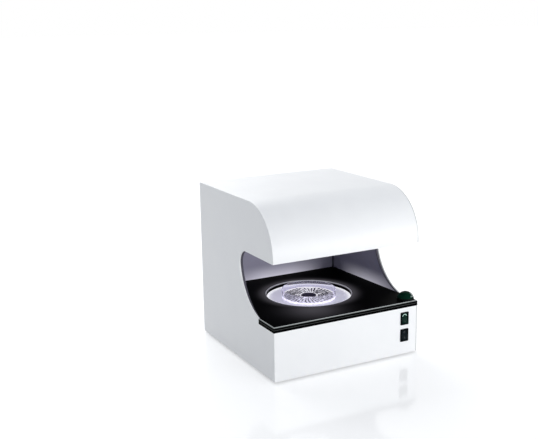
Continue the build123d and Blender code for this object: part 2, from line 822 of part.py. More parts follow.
with BuildPart() as board_components:
    chip = controller_width / 6
    with Locations((controller_x - chip, controller_y, board_top_z + board_thick / 2)):
        Box(chip, chip, board_thick)
    with Locations((controller_x + chip, controller_y - chip, board_top_z + board_thick / 2)):
        Box(chip / 2, chip, board_thick)
    with Locations((controller_x - 2 * chip, controller_y + chip, board_top_z)):
        upright(jack_radius, 0, usb_height)
    for x, y in ((camera_plug_x, camera_plug_y), (lamp_plug_x, lamp_plug_y)):
        with Locations((x, y, board_top_z + plug_size / 2)):
            Box(plug_size, plug_size, plug_size)

with BuildPart() as driver_heatsink:
    sink_x = driver_x + driver_width / 6
    fin_pitch = driver_depth / (2 * fin_count)
    fin_span = (fin_count - 1) * fin_pitch + fin_thick
    with Locations((sink_x, driver_y, board_top_z + sheet / 2)):
        Box(fin_height, fin_span, sheet)
    with Locations((sink_x, driver_y, board_top_z + (sheet + fin_height) / 2)):
        with GridLocations(1, fin_pitch, 1, fin_count):
            Box(fin_height, fin_thick, fin_height + sheet)

with BuildPart() as usb_socket:
    with BuildSketch(Plane(origin=(usb_x, rear_y, board_top_z + usb_height / 2), x_dir=(1, 0, 0),
                           z_dir=(0, -1, 0))):
        Rectangle(usb_width, usb_height)
        Rectangle(usb_width - 2 * board_thick, usb_height - 2 * board_thick, mode=Mode.SUBTRACT)
    extrude(amount=usb_length)
    with Locations((usb_x, rear_y - usb_length + board_thick / 2, board_top_z + usb_height / 2)):
        Box(usb_width, board_thick, usb_height)
    with Locations((usb_x, rear_y - usb_length / 2, board_top_z + usb_height / 2)):
        Box(usb_width / 2, usb_length, board_thick)

# The jack's collar stands out behind by as much as the rockers do in front
front_reach = front_y - power_rocker.part.bounding_box().min.Y
jack_axis = Plane(origin=(jack_x, rear_y, jack_z), x_dir=(1, 0, 0), z_dir=(0, 1, 0))

with BuildPart() as power_jack:
    with BuildSketch(jack_axis):
        Circle(jack_collar_radius)
    extrude(amount=front_reach)
    with BuildSketch(jack_axis.offset(-jack_length)):
        Circle(jack_radius)
    extrude(amount=jack_length)
    with BuildSketch(jack_axis.offset(front_reach)):
        Circle(jack_bore)
    extrude(amount=-(jack_length + front_reach - 2 * sheet), mode=Mode.SUBTRACT)
    with BuildSketch(jack_axis.offset(-jack_length)):
        Circle(jack_pin)
    extrude(amount=jack_length)

with BuildPart() as jack_nut:
    with BuildSketch(jack_axis.offset(-sheet)):
        RegularPolygon(jack_collar_radius, 6, major_radius=False)
        Circle(jack_radius, mode=Mode.SUBTRACT)
    extrude(amount=-nut_height)


def lead(*points):
    """A round lead laid along straight runs with an arc at each corner."""
    with BuildPart() as piece:
        with BuildLine() as route:
            FilletPolyline(*points, radius=lead_bend)
        with BuildSketch(Plane(origin=route.line @ 0, z_dir=route.line % 0)):
            Circle(lead_radius)
        sweep()
    return piece


lead_level = floor_z + 2 * lead_radius
camera_top_z = sensor_z + camera_height / 2
camera_cable = lead(
    (camera_plug_x, well_y + camera_size / 2, camera_top_z),
    (camera_plug_x, duct_y, camera_top_z),
    (camera_plug_x, duct_y, plate_under_z - 2 * angle_leg),
    (camera_plug_x, camera_plug_y, plate_under_z - 2 * angle_leg),
    (camera_plug_x, camera_plug_y, board_top_z + plug_size),
)
blade_end_y = rear_of_housing + blade_length
side_run_x = inner_x - nut_block - 2 * lead_bend
power_lead = lead(
    (jack_x, rear_y - jack_length, jack_z),
    (jack_x, rear_y - jack_length - 3 * lead_bend, jack_z),
    (side_run_x, rear_y - jack_length - 6 * lead_bend, lead_level),
    (side_run_x, blade_end_y + 6 * lead_bend, lead_level),
    (switch_x, blade_end_y + 3 * lead_bend, lower_switch_z),
    (switch_x, blade_end_y, lower_switch_z),
)

# ---------------------------------------------------------------- feet

with BuildPart() as rubber_feet:
    with Locations(*foot_points):
        upright(foot_radius, 0, foot_height)
        upright(screw_head_radius + screw_clearance, 0, screw_head, mode=Mode.SUBTRACT)
        upright(screw_radius, 0, foot_height, mode=Mode.SUBTRACT)

with BuildPart() as foot_screws:
    with Locations(*foot_points):
        upright(screw_head_radius, screw_clearance, screw_head)
        upright(screw_radius, screw_head, floor_z + nut_height)

with BuildPart() as foot_nuts:
    with BuildSketch(Plane.XY.offset(floor_z)):
        with Locations(*foot_points):
            RegularPolygon(nut_size, 6, major_radius=False)
            Circle(screw_radius, mode=Mode.SUBTRACT)
    extrude(amount=nut_height)

# ---------------------------------------------------------------- write each piece

pieces = {
    "left_side_panel": left_side_panel,
    "right_side_panel": right_side_panel,
    "cutout_seal_left": cutout_seal_left,
    "cutout_seal_right": cutout_seal_right,
    "top_cover": top_cover,
    "front_panel": front_panel,
    "rear_panel": rear_panel,
    "base_plate": base_plate,
    "nut_blocks": nut_blocks,
    "casing_screws": casing_screws,
    "plate_ledge_left": plate_ledge_left,
    "plate_ledge_right": plate_ledge_right,
    "rear_cross_rail": rear_cross_rail,
    "work_plate_top": work_plate_top,
    "work_plate_under": work_plate_under,
    "chamber_left_wall": chamber_left_wall,
    "chamber_right_wall": chamber_right_wall,
    "chamber_back_wall": chamber_back_wall,
    "chamber_ceiling": chamber_ceiling,
    "diffuser_disc": diffuser_disc,
    "light_cup": light_cup,
    "light_cup_screws": light_cup_screws,
    "lower_led_board": lower_led_board,
    "lower_leds": lower_leds,
    "ring_light_housing": ring_light_housing,
    "ring_light_diffuser": ring_light_diffuser,
    "ring_light_board": ring_light_board,
    "ring_light_leds": ring_light_leds,
    "camera_bridge": camera_bridge,
    "bridge_screws": bridge_screws,
    "camera_body": camera_body,
    "camera_cable": camera_cable,
    "lens_barrel": lens_barrel,
    "iris_ring": iris_ring,
    "focus_ring": focus_ring,
    "lens_cell": lens_cell,
    "lens_glasses": lens_glasses,
    "petri_dish": petri_dish,
    "agar": agar,
    "power_switch_housing": power_switch_housing,
    "power_rocker": power_rocker,
    "light_switch_housing": light_switch_housing,
    "light_rocker": light_rocker,
    "switch_blades": switch_blades,
    "dimmer_knob": dimmer_knob,
    "dimmer_shaft": dimmer_shaft,
    "dimmer_pot": dimmer_pot,
    "dimmer_nut": dimmer_nut,
    "controller_board": controller_board,
    "driver_board": driver_board,
    "board_standoffs": board_standoffs,
    "board_components": board_components,
    "driver_heatsink": driver_heatsink,
    "usb_socket": usb_socket,
    "power_jack": power_jack,
    "jack_nut": jack_nut,
    "power_lead": power_lead,
    "rubber_feet": rubber_feet,
    "foot_screws": foot_screws,
    "foot_nuts": foot_nuts,
}

os.makedirs("parts", exist_ok=True)
for name, piece in pieces.items():
    piece.part.label = name
    export_step(piece.part, f"parts/{name}.step")
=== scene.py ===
from math import cos, pi, radians, sin

import bmesh
import bpy
import numpy as np
from mathutils import Matrix, Vector


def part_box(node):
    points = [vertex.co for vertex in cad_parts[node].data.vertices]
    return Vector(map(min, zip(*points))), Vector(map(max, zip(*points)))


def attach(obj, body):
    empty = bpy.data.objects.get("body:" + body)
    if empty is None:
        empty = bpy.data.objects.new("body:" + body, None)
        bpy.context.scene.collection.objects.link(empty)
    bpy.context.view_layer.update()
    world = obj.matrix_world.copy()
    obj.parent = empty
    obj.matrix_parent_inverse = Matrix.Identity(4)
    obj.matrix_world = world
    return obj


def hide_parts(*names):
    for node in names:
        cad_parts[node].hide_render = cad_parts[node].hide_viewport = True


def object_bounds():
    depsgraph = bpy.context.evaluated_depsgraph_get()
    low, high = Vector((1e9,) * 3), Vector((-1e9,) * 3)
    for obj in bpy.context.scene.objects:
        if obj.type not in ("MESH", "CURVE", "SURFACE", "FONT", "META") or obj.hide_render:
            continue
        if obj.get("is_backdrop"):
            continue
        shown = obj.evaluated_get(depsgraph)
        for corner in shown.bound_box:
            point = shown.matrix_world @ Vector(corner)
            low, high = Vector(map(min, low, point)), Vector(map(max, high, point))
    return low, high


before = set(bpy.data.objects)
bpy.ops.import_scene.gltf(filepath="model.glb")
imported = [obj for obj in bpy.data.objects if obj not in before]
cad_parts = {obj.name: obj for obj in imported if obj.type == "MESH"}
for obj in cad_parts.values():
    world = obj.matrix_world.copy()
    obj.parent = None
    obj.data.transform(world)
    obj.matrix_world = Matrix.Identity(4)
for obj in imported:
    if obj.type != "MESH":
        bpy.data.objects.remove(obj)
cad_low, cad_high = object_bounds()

# ---------- casing sheets
# Five folded steel sheets make the housing: two sides with a curved cut-out, a cover bent over the hood,
# a front and a back. They are spot welded, ground flush and powder coated white, so the coat has a fine
# orange peel, an uneven gloss and a softly rubbed edge. The right side's sheared edges carry painted shade.


def add_node(tree, kind, inputs=None, **settings):
    """A shader node with its settings. Each input is linked where a socket is given, and set otherwise."""
    made = tree.nodes.new(kind)
    for key, value in settings.items():
        setattr(made, key, value)
    for key, value in (inputs or {}).items():
        if isinstance(value, bpy.types.NodeSocket):
            tree.links.new(value, made.inputs[key])
        else:
            made.inputs[key].default_value = value
    return made


def new_group(name, inputs, outputs):
    """An empty shader node group with named inputs and outputs, and the sockets that give its inputs."""
    group = bpy.data.node_groups.new(name, "ShaderNodeTree")
    for label, value in inputs.items():
        kind = "NodeSocketVector" if isinstance(value, tuple) else "NodeSocketFloat"
        group.interface.new_socket(label, in_out="INPUT", socket_type=kind).default_value = value
    for label in outputs:
        group.interface.new_socket(label, in_out="OUTPUT", socket_type="NodeSocketFloat")
    return group, group.nodes.new("NodeGroupInput").outputs


def noise(tree, place, scale, detail=2.0, **more):
    """The value of a noise texture at a place, from 0 to 1."""
    return add_node(tree, "ShaderNodeTexNoise", {"Vector": place, "Scale": scale, "Detail": detail},
                    **more).outputs["Fac"]


def remap(tree, value, low, high, to_low=0.0, to_high=1.0):
    """A value carried from one range to another and held inside it."""
    return add_node(tree, "ShaderNodeMapRange", {"Value": value, "From Min": low, "From Max": high,
                                                 "To Min": to_low, "To Max": to_high}).outputs["Result"]


def combine(tree, operation, first, second):
    """Two values put together by an operation."""
    return add_node(tree, "ShaderNodeMath", {0: first, 1: second}, operation=operation).outputs[0]


def mix_colour(tree, share, first, second):
    """A colour between two, by a share from 0 to 1."""
    made = add_node(tree, "ShaderNodeMix", {"Factor": share}, data_type="RGBA")
    for socket, colour in ((made.inputs[6], first), (made.inputs[7], second)):
        if isinstance(colour, bpy.types.NodeSocket):
            tree.links.new(colour, socket)
        else:
            socket.default_value = (*colour, 1.0)
    return made.outputs[2]


def times(tree, first, second):
    """The product of two values."""
    return combine(tree, "MULTIPLY", first, second)


def between(tree, value, low, high):
    """1 where a value lies between two limits, and 0 elsewhere."""
    return times(tree, combine(tree, "GREATER_THAN", value, low), combine(tree, "LESS_THAN", value, high))


def here(tree):
    """The point that is being shaded, in metres."""
    return add_node(tree, "ShaderNodeTexCoord").outputs["Object"]


def axes(tree, vector):
    """The X, Y and Z of a vector."""
    return add_node(tree, "ShaderNodeSeparateXYZ", {0: vector}).outputs


def facing(tree):
    """The X, Y and Z of the direction that the face looks in."""
    return axes(tree, add_node(tree, "ShaderNodeNewGeometry").outputs["Normal"])


def lay_over(material, share, added):
    """A colour laid over the material's own, by a share from 0 to 1."""
    socket = material.node_tree.nodes["Principled BSDF"].inputs["Base Color"]
    covered = mix_colour(material.node_tree, share, socket.links[0].from_socket, added)
    material.node_tree.links.new(covered, socket)


def glow(material, share, dim, bright):
    """The material's own light, between two colours by a share from 0 to 1."""
    socket = material.node_tree.nodes["Principled BSDF"].inputs["Emission Color"]
    material.node_tree.links.new(mix_colour(material.node_tree, share, dim, bright), socket)


def grain_group():
    """Fine pits all over, and broad patches: Height follows the pits, Tone the patches."""
    group, given = new_group("fine_grain", {"Scale": 700.0, "Patch Scale": 18.0}, ("Height", "Tone"))
    place = here(group)
    pits = noise(group, place, given["Scale"], 2.5)
    patches = remap(group, noise(group, place, given["Patch Scale"], 5.0), 0.32, 0.68)
    add_node(group, "NodeGroupOutput", {"Height": pits, "Tone": patches})
    return group


def drawn_group():
    """Lines drawn out along one direction, as rolling or brushing leaves them."""
    group, given = new_group("drawn_lines", {"Stretch": (60.0, 1500.0, 1500.0)}, ("Height", "Tone"))
    place = here(group)
    drawn = add_node(group, "ShaderNodeVectorMath", {0: place, 1: given["Stretch"]},
                     operation="MULTIPLY").outputs[0]
    lines = noise(group, drawn, 1.0, 3.0)
    patches = remap(group, noise(group, place, 35.0, 4.0), 0.35, 0.65)
    add_node(group, "NodeGroupOutput", {"Height": lines, "Tone": patches})
    return group


def wear_group():
    """A mask of rubbed edges: where a rounded normal turns away from the face's own, broken up by noise."""
    group, given = new_group("rubbed_edges", {"Width": 0.0012, "Break Scale": 240.0}, ("Mask",))
    place = here(group)
    rounded_normal = add_node(group, "ShaderNodeBevel", {"Radius": given["Width"]}, samples=4)
    face_normal = add_node(group, "ShaderNodeNewGeometry").outputs["Normal"]
    agree = add_node(group, "ShaderNodeVectorMath", {0: rounded_normal.outputs[0], 1: face_normal},
                     operation="DOT_PRODUCT").outputs["Value"]
    edge = remap(group, agree, 0.995, 0.86)
    broken = remap(group, noise(group, place, given["Break Scale"], 3.0), 0.35, 0.6)
    add_node(group, "NodeGroupOutput", {"Mask": times(group, edge, broken)})
    return group


def dust_group():
    """A mask of settled dust: thick on faces that look up, thin on walls, in specks and soft drifts."""
    group, given = new_group("settled_dust", {"Amount": 0.2, "Speck Scale": 900.0}, ("Mask",))
    place = here(group)
    specks = remap(group, noise(group, place, given["Speck Scale"], 2.0), 0.6, 0.72)
    drifts = remap(group, noise(group, place, 28.0, 5.0), 0.45, 0.75, 0.0, 0.5)
    lying = combine(group, "MAXIMUM", facing(group)["Z"], 0.15)
    film = times(group, combine(group, "MAXIMUM", specks, drifts), lying)
    add_node(group, "NodeGroupOutput", {"Mask": times(group, film, given["Amount"])})
    return group


fine_grain, drawn_lines = grain_group(), drawn_group()
rubbed_edges, settled_dust = wear_group(), dust_group()
dust_grey, unlit = (0.62, 0.61, 0.59), (0.0, 0.0, 0.0)


def finish(name, light, dark, rough, depth, texture=fine_grain, values=None, dust=0.0, wear=None,
           **constants):
    """A material on one Principled shader. Its colour runs between dark and light by the texture's
    patches, its roughness between two values, and its bumps are depth metres high. Dust and wear, the
    colour of rubbed edges, are laid over the colour. Constants are sockets of the shader by name."""
    made = bpy.data.materials.new(name)
    made.use_nodes = True
    tree = made.node_tree
    shader = tree.nodes["Principled BSDF"]
    for key, value in constants.items():
        shader.inputs[key.replace("_", " ")].default_value = value
    pattern = add_node(tree, "ShaderNodeGroup", values, node_tree=texture)
    colour = mix_colour(tree, pattern.outputs["Tone"], dark, light)
    roughness = remap(tree, pattern.outputs["Tone"], 0.0, 1.0, rough[0], rough[1])
    if wear:
        rubbed = add_node(tree, "ShaderNodeGroup", node_tree=rubbed_edges).outputs["Mask"]
        colour = mix_colour(tree, rubbed, colour, wear)
    if dust:
        film = add_node(tree, "ShaderNodeGroup", {"Amount": dust}, node_tree=settled_dust).outputs["Mask"]
        colour = mix_colour(tree, film, colour, dust_grey)
        roughness = combine(tree, "MAXIMUM", roughness, film)
    bump = add_node(tree, "ShaderNodeBump", {"Height": pattern.outputs["Height"], "Distance": depth})
    tree.links.new(colour, shader.inputs["Base Color"])
    tree.links.new(roughness, shader.inputs["Roughness"])
    tree.links.new(bump.outputs[0], shader.inputs["Normal"])
    return made


def dress(material, *names):
    """Puts a material on CAD nodes."""
    for name in names:
        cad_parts[name].material_slots[0].material = material


coat_light, coat_dark = (0.87, 0.875, 0.88), (0.845, 0.85, 0.86)
coat_rough, coat_peel = (0.34, 0.42), 0.00004
white_coat = finish("white_coat", coat_light, coat_dark, coat_rough, coat_peel, dust=0.12,
                    wear=(0.93, 0.93, 0.93), Specular_IOR_Level=0.35)
dress(white_coat, "left_side_panel", "top_cover", "front_panel", "rear_panel")


def edge_shade_share(tree):
    """Where the painted shade goes: 1 on a sheet's sheared edges, which look neither out to the right nor
    back, and 0 on its faces.
    """
    looks = facing(tree)
    return times(tree, combine(tree, "LESS_THAN", looks["X"], 0.6),
                 combine(tree, "LESS_THAN", looks["Y"], 0.5))


# Painted shade: the right side's sheared edges are coloured grey for the line of shade along them.
painted_edge_shade_grey = (0.44, 0.45, 0.45)
white_coat_with_edge_shade = finish("white_coat_with_edge_shade", coat_light, coat_dark, coat_rough, coat_peel, dust=0.12,
                       Specular_IOR_Level=0.35)
lay_over(white_coat_with_edge_shade, edge_shade_share(white_coat_with_edge_shade.node_tree), painted_edge_shade_grey)
dress(white_coat_with_edge_shade, "right_side_panel")

# ---------- cut-out seals
# A thin black rubber profile closes the gap between each side sheet and the chamber wall behind it, all
# round the hand cut-out. It is extruded, mitred at the bends and glued in, and the rubber is matt.

seal_rubber = finish("seal_rubber", (0.10, 0.095, 0.12), (0.07, 0.067, 0.085), (0.6, 0.75), 0.00004,
                     Specular_IOR_Level=0.1)
dress(seal_rubber, "cutout_seal_left", "cutout_seal_right")

# ---------- base and frame parts
# The base plate, ledges, rail, nut blocks and camera bridge are bare zinc plated steel, rolled and pressed,
# so they show faint drawn lines and patches of spangle.

zinc_steel = finish("zinc_steel", (0.60, 0.61, 0.63), (0.53, 0.54, 0.56), (0.28, 0.42), 0.00003,
                    texture=drawn_lines, dust=0.15, wear=(0.7, 0.7, 0.71), Metallic=1.0)
dress(zinc_steel, "base_plate", "nut_blocks", "plate_ledge_left", "plate_ledge_right", "rear_cross_rail",
      "camera_bridge", "foot_nuts", "jack_nut", "dimmer_nut", "dimmer_shaft")

# ---------- screws
# M3 button head screws with a hexagon socket hold the base and back sheets, the light cup and the bridge.
# They are cold formed and zinc plated, a little brighter than the sheets, with turned lines on the head.

mm, whole_turn = 0.001, 2 * pi
tiny, merge_distance = 1e-6, 0.002


def span(node):
    """The lowest and the highest corner of a CAD node, in millimetres."""
    return np.round(np.array(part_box(node)) / mm, 3)


def grid_faces(rows, columns, close_rows=False, close_columns=True):
    """The quads between neighbouring points of a grid given row by row, wrapping where a way is closed."""
    row, column = np.meshgrid(np.arange(rows if close_rows else rows - 1),
                              np.arange(columns if close_columns else columns - 1), indexing="ij")
    below, beside = (row + 1) % rows, (column + 1) % columns
    return np.stack([row * columns + column, row * columns + beside,
                     below * columns + beside, below * columns + column], -1).reshape(-1, 4)


def unit(rows):
    """Each row of a table of directions, brought to a length of 1."""
    return rows / np.maximum(np.linalg.norm(rows, axis=1, keepdims=True), tiny)


def rounded(corners, steps=4, closed=False):
    """An outline of (a, b, radius) corners with an arc at each. The arc's middle lies on the corner's
    bisector at radius / sin(half angle), and its points turn evenly from one tangent to the other."""
    corners = np.asarray(corners, float)
    tip, radius = corners[:, :2], corners[:, 2:]
    back, ahead = unit(np.roll(tip, 1, 0) - tip), unit(np.roll(tip, -1, 0) - tip)
    half = np.arccos(np.clip((back * ahead).sum(1, keepdims=True), -1.0, 1.0)) / 2
    bisector = unit(back + ahead)
    middle = tip + bisector * radius / np.sin(half)
    first = tip + back * radius / np.tan(half) - middle
    last = tip + ahead * radius / np.tan(half) - middle
    turn = np.maximum(pi - 2 * half, tiny)[:, None]
    share = np.linspace(0.0, 1.0, steps + 1)[None, :, None]
    fan = np.sin((1 - share) * turn) * first[:, None] + np.sin(share * turn) * last[:, None]
    arc = fan / np.sin(turn)
    made = (middle[:, None] + arc).reshape(-1, 2)
    if closed:
        return made
    return np.concatenate([tip[:1], made[steps + 1:-(steps + 1)], tip[-1:]])


def turned(profile, steps=64, closed=False, shape=1.0):
    """A profile of (radius, level) rows turned round the z axis: x = r cos t, y = r sin t, z = level.
    A shape, by row and step, multiplies the radius."""
    profile = np.asarray(profile, float)
    angle = np.linspace(0.0, whole_turn, steps, endpoint=False)
    radius = profile[:, :1] * np.broadcast_to(shape, (len(profile), steps))
    level = np.broadcast_to(profile[:, 1:], radius.shape)
    points = np.stack([radius * np.cos(angle), radius * np.sin(angle), level], -1)
    return points.reshape(-1, 3), grid_faces(len(profile), steps, closed)


def placed(surface, spots, towards=(0.0, 0.0, 1.0)):
    """A surface set down at several spots, its own z axis laid along a direction."""
    points, faces = surface
    points = points @ np.array(Vector(towards).to_track_quat("Z", "Y").to_matrix()).T
    spots = np.asarray(spots, float).reshape(-1, 3)
    steps = len(points) * np.arange(len(spots))
    return (spots[:, None] + points).reshape(-1, 3), (faces + steps[:, None, None]).reshape(-1, 4)


def put_in_scene(name, data):
    """A new object made of a mesh, a lamp or a camera."""
    made = bpy.data.objects.new(name, data)
    bpy.context.scene.collection.objects.link(made)
    return made


def make_piece(name, surfaces, material, body, replaced=(), crisp=35.0):
    """One object from grids in millimetres. Points that coincide are merged, which closes seams and poles,
    the faces are turned outwards, and edges that bend by more than an angle in degrees stay crisp."""
    starts = np.cumsum([0] + [len(points) for points, faces in surfaces])
    mesh = bpy.data.meshes.new(name)
    mesh.from_pydata(np.concatenate([points for points, faces in surfaces]) * mm, [],
                     np.concatenate([faces + start for (points, faces), start in zip(surfaces, starts)]))
    shell = bmesh.new()
    shell.from_mesh(mesh)
    bmesh.ops.remove_doubles(shell, verts=shell.verts, dist=merge_distance * mm)
    bmesh.ops.recalc_face_normals(shell, faces=shell.faces)
    shell.to_mesh(mesh)
    shell.free()
    mesh.materials.append(material)
    mesh.shade_smooth()
    mesh.set_sharp_from_angle(angle=radians(crisp))
    made = put_in_scene(name, mesh)
    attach(made, body)
    if replaced:
        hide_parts(*replaced)


head_radius, head_height, screw_radius = 2.75, 1.8, 1.5
socket_flat, socket_floor, socket_lip, socket_chamfer = 1.0, 0.9, 1.65, 0.15
hexagon_steps = 24


def button_screw(length):
    """A screw whose head sits on z = 0. Its rings run from the socket's floor over the dome and down the
    shank; the socket's rings are hexagons, radius = flat / cos((angle mod 60) - 30)."""
    socket = [(0.0, socket_floor), (socket_flat, socket_floor), (socket_flat, socket_lip),
              (socket_flat + socket_chamfer, head_height)]
    dome = rounded([(1.5, head_height, 0), (2.3, 1.75, 1.2), (head_radius, 0.9, 0.5), (head_radius, 0, 0)])
    shank = rounded([(screw_radius, 0, 0), (screw_radius, -length, 0.3), (0, -length, 0)])
    rows = np.concatenate([socket, dome, shank])
    angle = np.degrees(np.linspace(0.0, whole_turn, hexagon_steps, endpoint=False))
    hexagon = 1.0 / np.cos(np.radians(angle % 60.0 - 30.0))
    shape = np.ones((len(rows), hexagon_steps))
    shape[:len(socket)] = hexagon
    return turned(rows, hexagon_steps, shape=shape)


screw_zinc = finish("screw_zinc", (0.70, 0.71, 0.73), (0.58, 0.59, 0.61), (0.22, 0.34), 0.00002,
                    texture=drawn_lines, wear=(0.8, 0.8, 0.8), Metallic=1.0)
base_z, rear_y = span("base_plate")[0, 2], span("rear_panel")[1, 1]
block_x, base_rows_y, back_rows_z, casing_shank = 123.0, (-111.5, 0.0, 101.5), (33.0, 123.0, 213.0), 8.0
base_spots = [(x, y, base_z) for x in (-block_x, block_x) for y in base_rows_y]
back_spots = [(x, rear_y, z) for x in (-block_x, block_x) for z in back_rows_z]
make_piece("casing_screw_set", [placed(button_screw(casing_shank), base_spots, (0, 0, -1)),
                                placed(button_screw(casing_shank), back_spots, (0, 1, 0))],
           screw_zinc, "casing", ["casing_screws"])

plate_under_z, well_y = span("work_plate_under")[0, 2], span("petri_dish")[:, 1].mean()
cup_screw_count, cup_screw_circle, cup_flange, cup_shank = 6, 75.0, 2.0, 4.1
cup_angles = whole_turn * (np.arange(cup_screw_count) + 0.5) / cup_screw_count
cup_spots = np.stack([cup_screw_circle * np.cos(cup_angles), well_y + cup_screw_circle * np.sin(cup_angles),
                      np.full(cup_screw_count, plate_under_z - cup_flange)], -1)
make_piece("light_cup_screw_set", [placed(button_screw(cup_shank), cup_spots, (0, 0, -1))],
           screw_zinc, "casing", ["light_cup_screws"])

bridge_foot_x, bridge_foot_y, bridge_sheet, bridge_shank = 58.0, 16.0, 1.5, 0.1
bridge_top_z = span("camera_bridge")[0, 2] + bridge_sheet
bridge_spots = [(x, well_y + y, bridge_top_z) for x in (-bridge_foot_x, bridge_foot_x)
                for y in (-bridge_foot_y, bridge_foot_y)]
make_piece("bridge_screw_set", [placed(button_screw(bridge_shank), bridge_spots)],
           screw_zinc, "casing", ["bridge_screws"])

# ---------- work plate
# Two layers of black cast acrylic with a round well through both, laid one on the other. The upper one
# has a milled, frosted bevel round its front, its sides and the well. A painted glow fades within a
# finger's width of the well, and a faint painted sheen lies on the plate in front of it.

plate_z, well_radius = span("work_plate_top")[1, 2], 70.0
slope_low, slope_high, level_low = 0.3, 0.95, 0.97


def reach_from(tree, x, y):
    """The distance in metres of a point from the upright line over (x, y), given in millimetres."""
    centred = add_node(tree, "ShaderNodeVectorMath", {0: here(tree), 1: (x * mm, y * mm, 0.0)},
                       operation="SUBTRACT").outputs[0]
    flat = add_node(tree, "ShaderNodeVectorMath", {0: centred, 1: (1.0, 1.0, 0.0)},
                    operation="MULTIPLY").outputs[0]
    return add_node(tree, "ShaderNodeVectorMath", {0: flat}, operation="LENGTH").outputs["Value"]


def bell(tree, value, middle, width):
    """A share that is 1 at the middle and falls off on both sides:
    e to the power of -((value - middle) / width) squared."""
    away = combine(tree, "DIVIDE", combine(tree, "SUBTRACT", value, middle), width)
    squared = times(tree, away, away)
    return combine(tree, "POWER", 2.7183, times(tree, squared, -1.0))


def frost_bevels(material, frosted):
    """Lays a frosted colour on the faces that slope, found from how far they look up. It is full near the
    top of the plate and faint lower down, and it makes them rough."""
    tree = material.node_tree
    edge_low, edge_high, faint, frost_rough = plate_z - 0.8, plate_z - 0.6, 0.22, 0.55
    sloping = between(tree, facing(tree)["Z"], slope_low, slope_high)
    place = here(tree)
    depth = remap(tree, axes(tree, place)["Z"], edge_low * mm, edge_high * mm, faint, 1.0)
    sloping = times(tree, sloping, depth)
    milled = remap(tree, noise(tree, place, 900.0, 3.0), 0.3, 0.7, 0.82, 1.0)
    lay_over(material, times(tree, sloping, milled), frosted)
    socket = tree.nodes["Principled BSDF"].inputs["Roughness"]
    rough = times(tree, sloping, frost_rough)
    tree.links.new(combine(tree, "MAXIMUM", socket.links[0].from_socket, rough), socket)


def paint_well_glow_and_sheen(material, reach, colour):
    """Painted glow near the well: full on its bevel, and a third of that on the flat top, as a bell of the
    distance from the well's edge, or painted sheen as a wide bell in front of it, whichever is more.
    Lengths are in millimetres."""
    tree = material.node_tree
    sheen_x, sheen_y, sheen_reach, top_share = -36.0, -86.0, 38.0, 1.0 / 3.0
    fade = combine(tree, "MAXIMUM",
                   bell(tree, reach_from(tree, 0.0, well_y), well_radius * mm, reach * mm),
                   bell(tree, reach_from(tree, sheen_x, sheen_y), 0.0, sheen_reach * mm))
    upward = facing(tree)["Z"]
    top = times(tree, fade, combine(tree, "GREATER_THAN", upward, level_low))
    bevel = times(tree, between(tree, upward, slope_low, slope_high),
                  bell(tree, reach_from(tree, 0.0, well_y), well_radius * mm, reach * mm / 2))
    glow(material, combine(tree, "MAXIMUM", times(tree, top, top_share), bevel), unlit, colour)


black_acrylic = finish("black_acrylic", (0.0015, 0.0016, 0.0017), (0.001, 0.001, 0.001), (0.34, 0.46),
                       0.00001, dust=0.001, Specular_IOR_Level=0.003, Emission_Strength=1.0)
frost_bevels(black_acrylic, (0.55, 0.58, 0.57))
# Painted light: a glow round the well and a wide sheen in front of it.
paint_well_glow_and_sheen(black_acrylic, 11.0, (0.168, 0.159, 0.185))
dress(black_acrylic, "work_plate_top", "work_plate_under")

# ---------- inspection chamber
# Aluminium sheets line the chamber: a back, two walls that lean in, and a ceiling with the lens window.
# Their mid lavender grey is painted shade for the hood's shadow, and the paint is matt so that the camera
# sees no glare. A painted glow stands in for the lamp's light on the walls just above the plate, most
# where they stand nearest to the well. A dark bead of sealant fills the corners.

# Painted shade: the walls' mid lavender grey stands in for the hood's shadow over them.
chamber_grey = finish("chamber_grey", (0.325, 0.315, 0.40), (0.295, 0.285, 0.37), (0.6, 0.75), 0.00003,
                      dust=0.03, Specular_IOR_Level=0.15, Emission_Strength=1.0)


def bead_share(tree, bead_x=115.8, bead_y=103.2):
    """1 in the upright corners, outside bead_x on either side and behind bead_y, and 0 elsewhere."""
    place = axes(tree, here(tree))
    outer = combine(tree, "GREATER_THAN", combine(tree, "ABSOLUTE", place["X"], 0.0), bead_x * mm)
    return times(tree, outer, combine(tree, "GREATER_THAN", place["Y"], bead_y * mm))


def painted_lamp_glow_share(tree, top_z=112.5, far=151.0, near=117.0):
    """Painted glow for lamp light on the walls: a share that grows downwards from top_z to the plate, to
    the power of 1.3, times one that grows inwards from the far to the near distance from the well, to the
    power of 1.4."""
    downward = remap(tree, axes(tree, here(tree))["Z"], top_z * mm, plate_z * mm)
    inward = remap(tree, reach_from(tree, 0.0, well_y), far * mm, near * mm)
    return times(tree, combine(tree, "POWER", downward, 1.3), combine(tree, "POWER", inward, 1.4))


lay_over(chamber_grey, bead_share(chamber_grey.node_tree), (0.05, 0.045, 0.07))
# Painted glow: lamp light on the walls low down, nearest the well.
glow(chamber_grey, painted_lamp_glow_share(chamber_grey.node_tree), unlit, (0.41, 0.40, 0.45))
dress(chamber_grey, "chamber_left_wall", "chamber_right_wall", "chamber_back_wall", "chamber_ceiling")

# ---------- lower lamp
# A white moulded cup under the well holds a ring board of LEDs, and an opal acrylic disc closes it. The
# disc glows cool white, brightest in a ring above the LEDs near its edge.

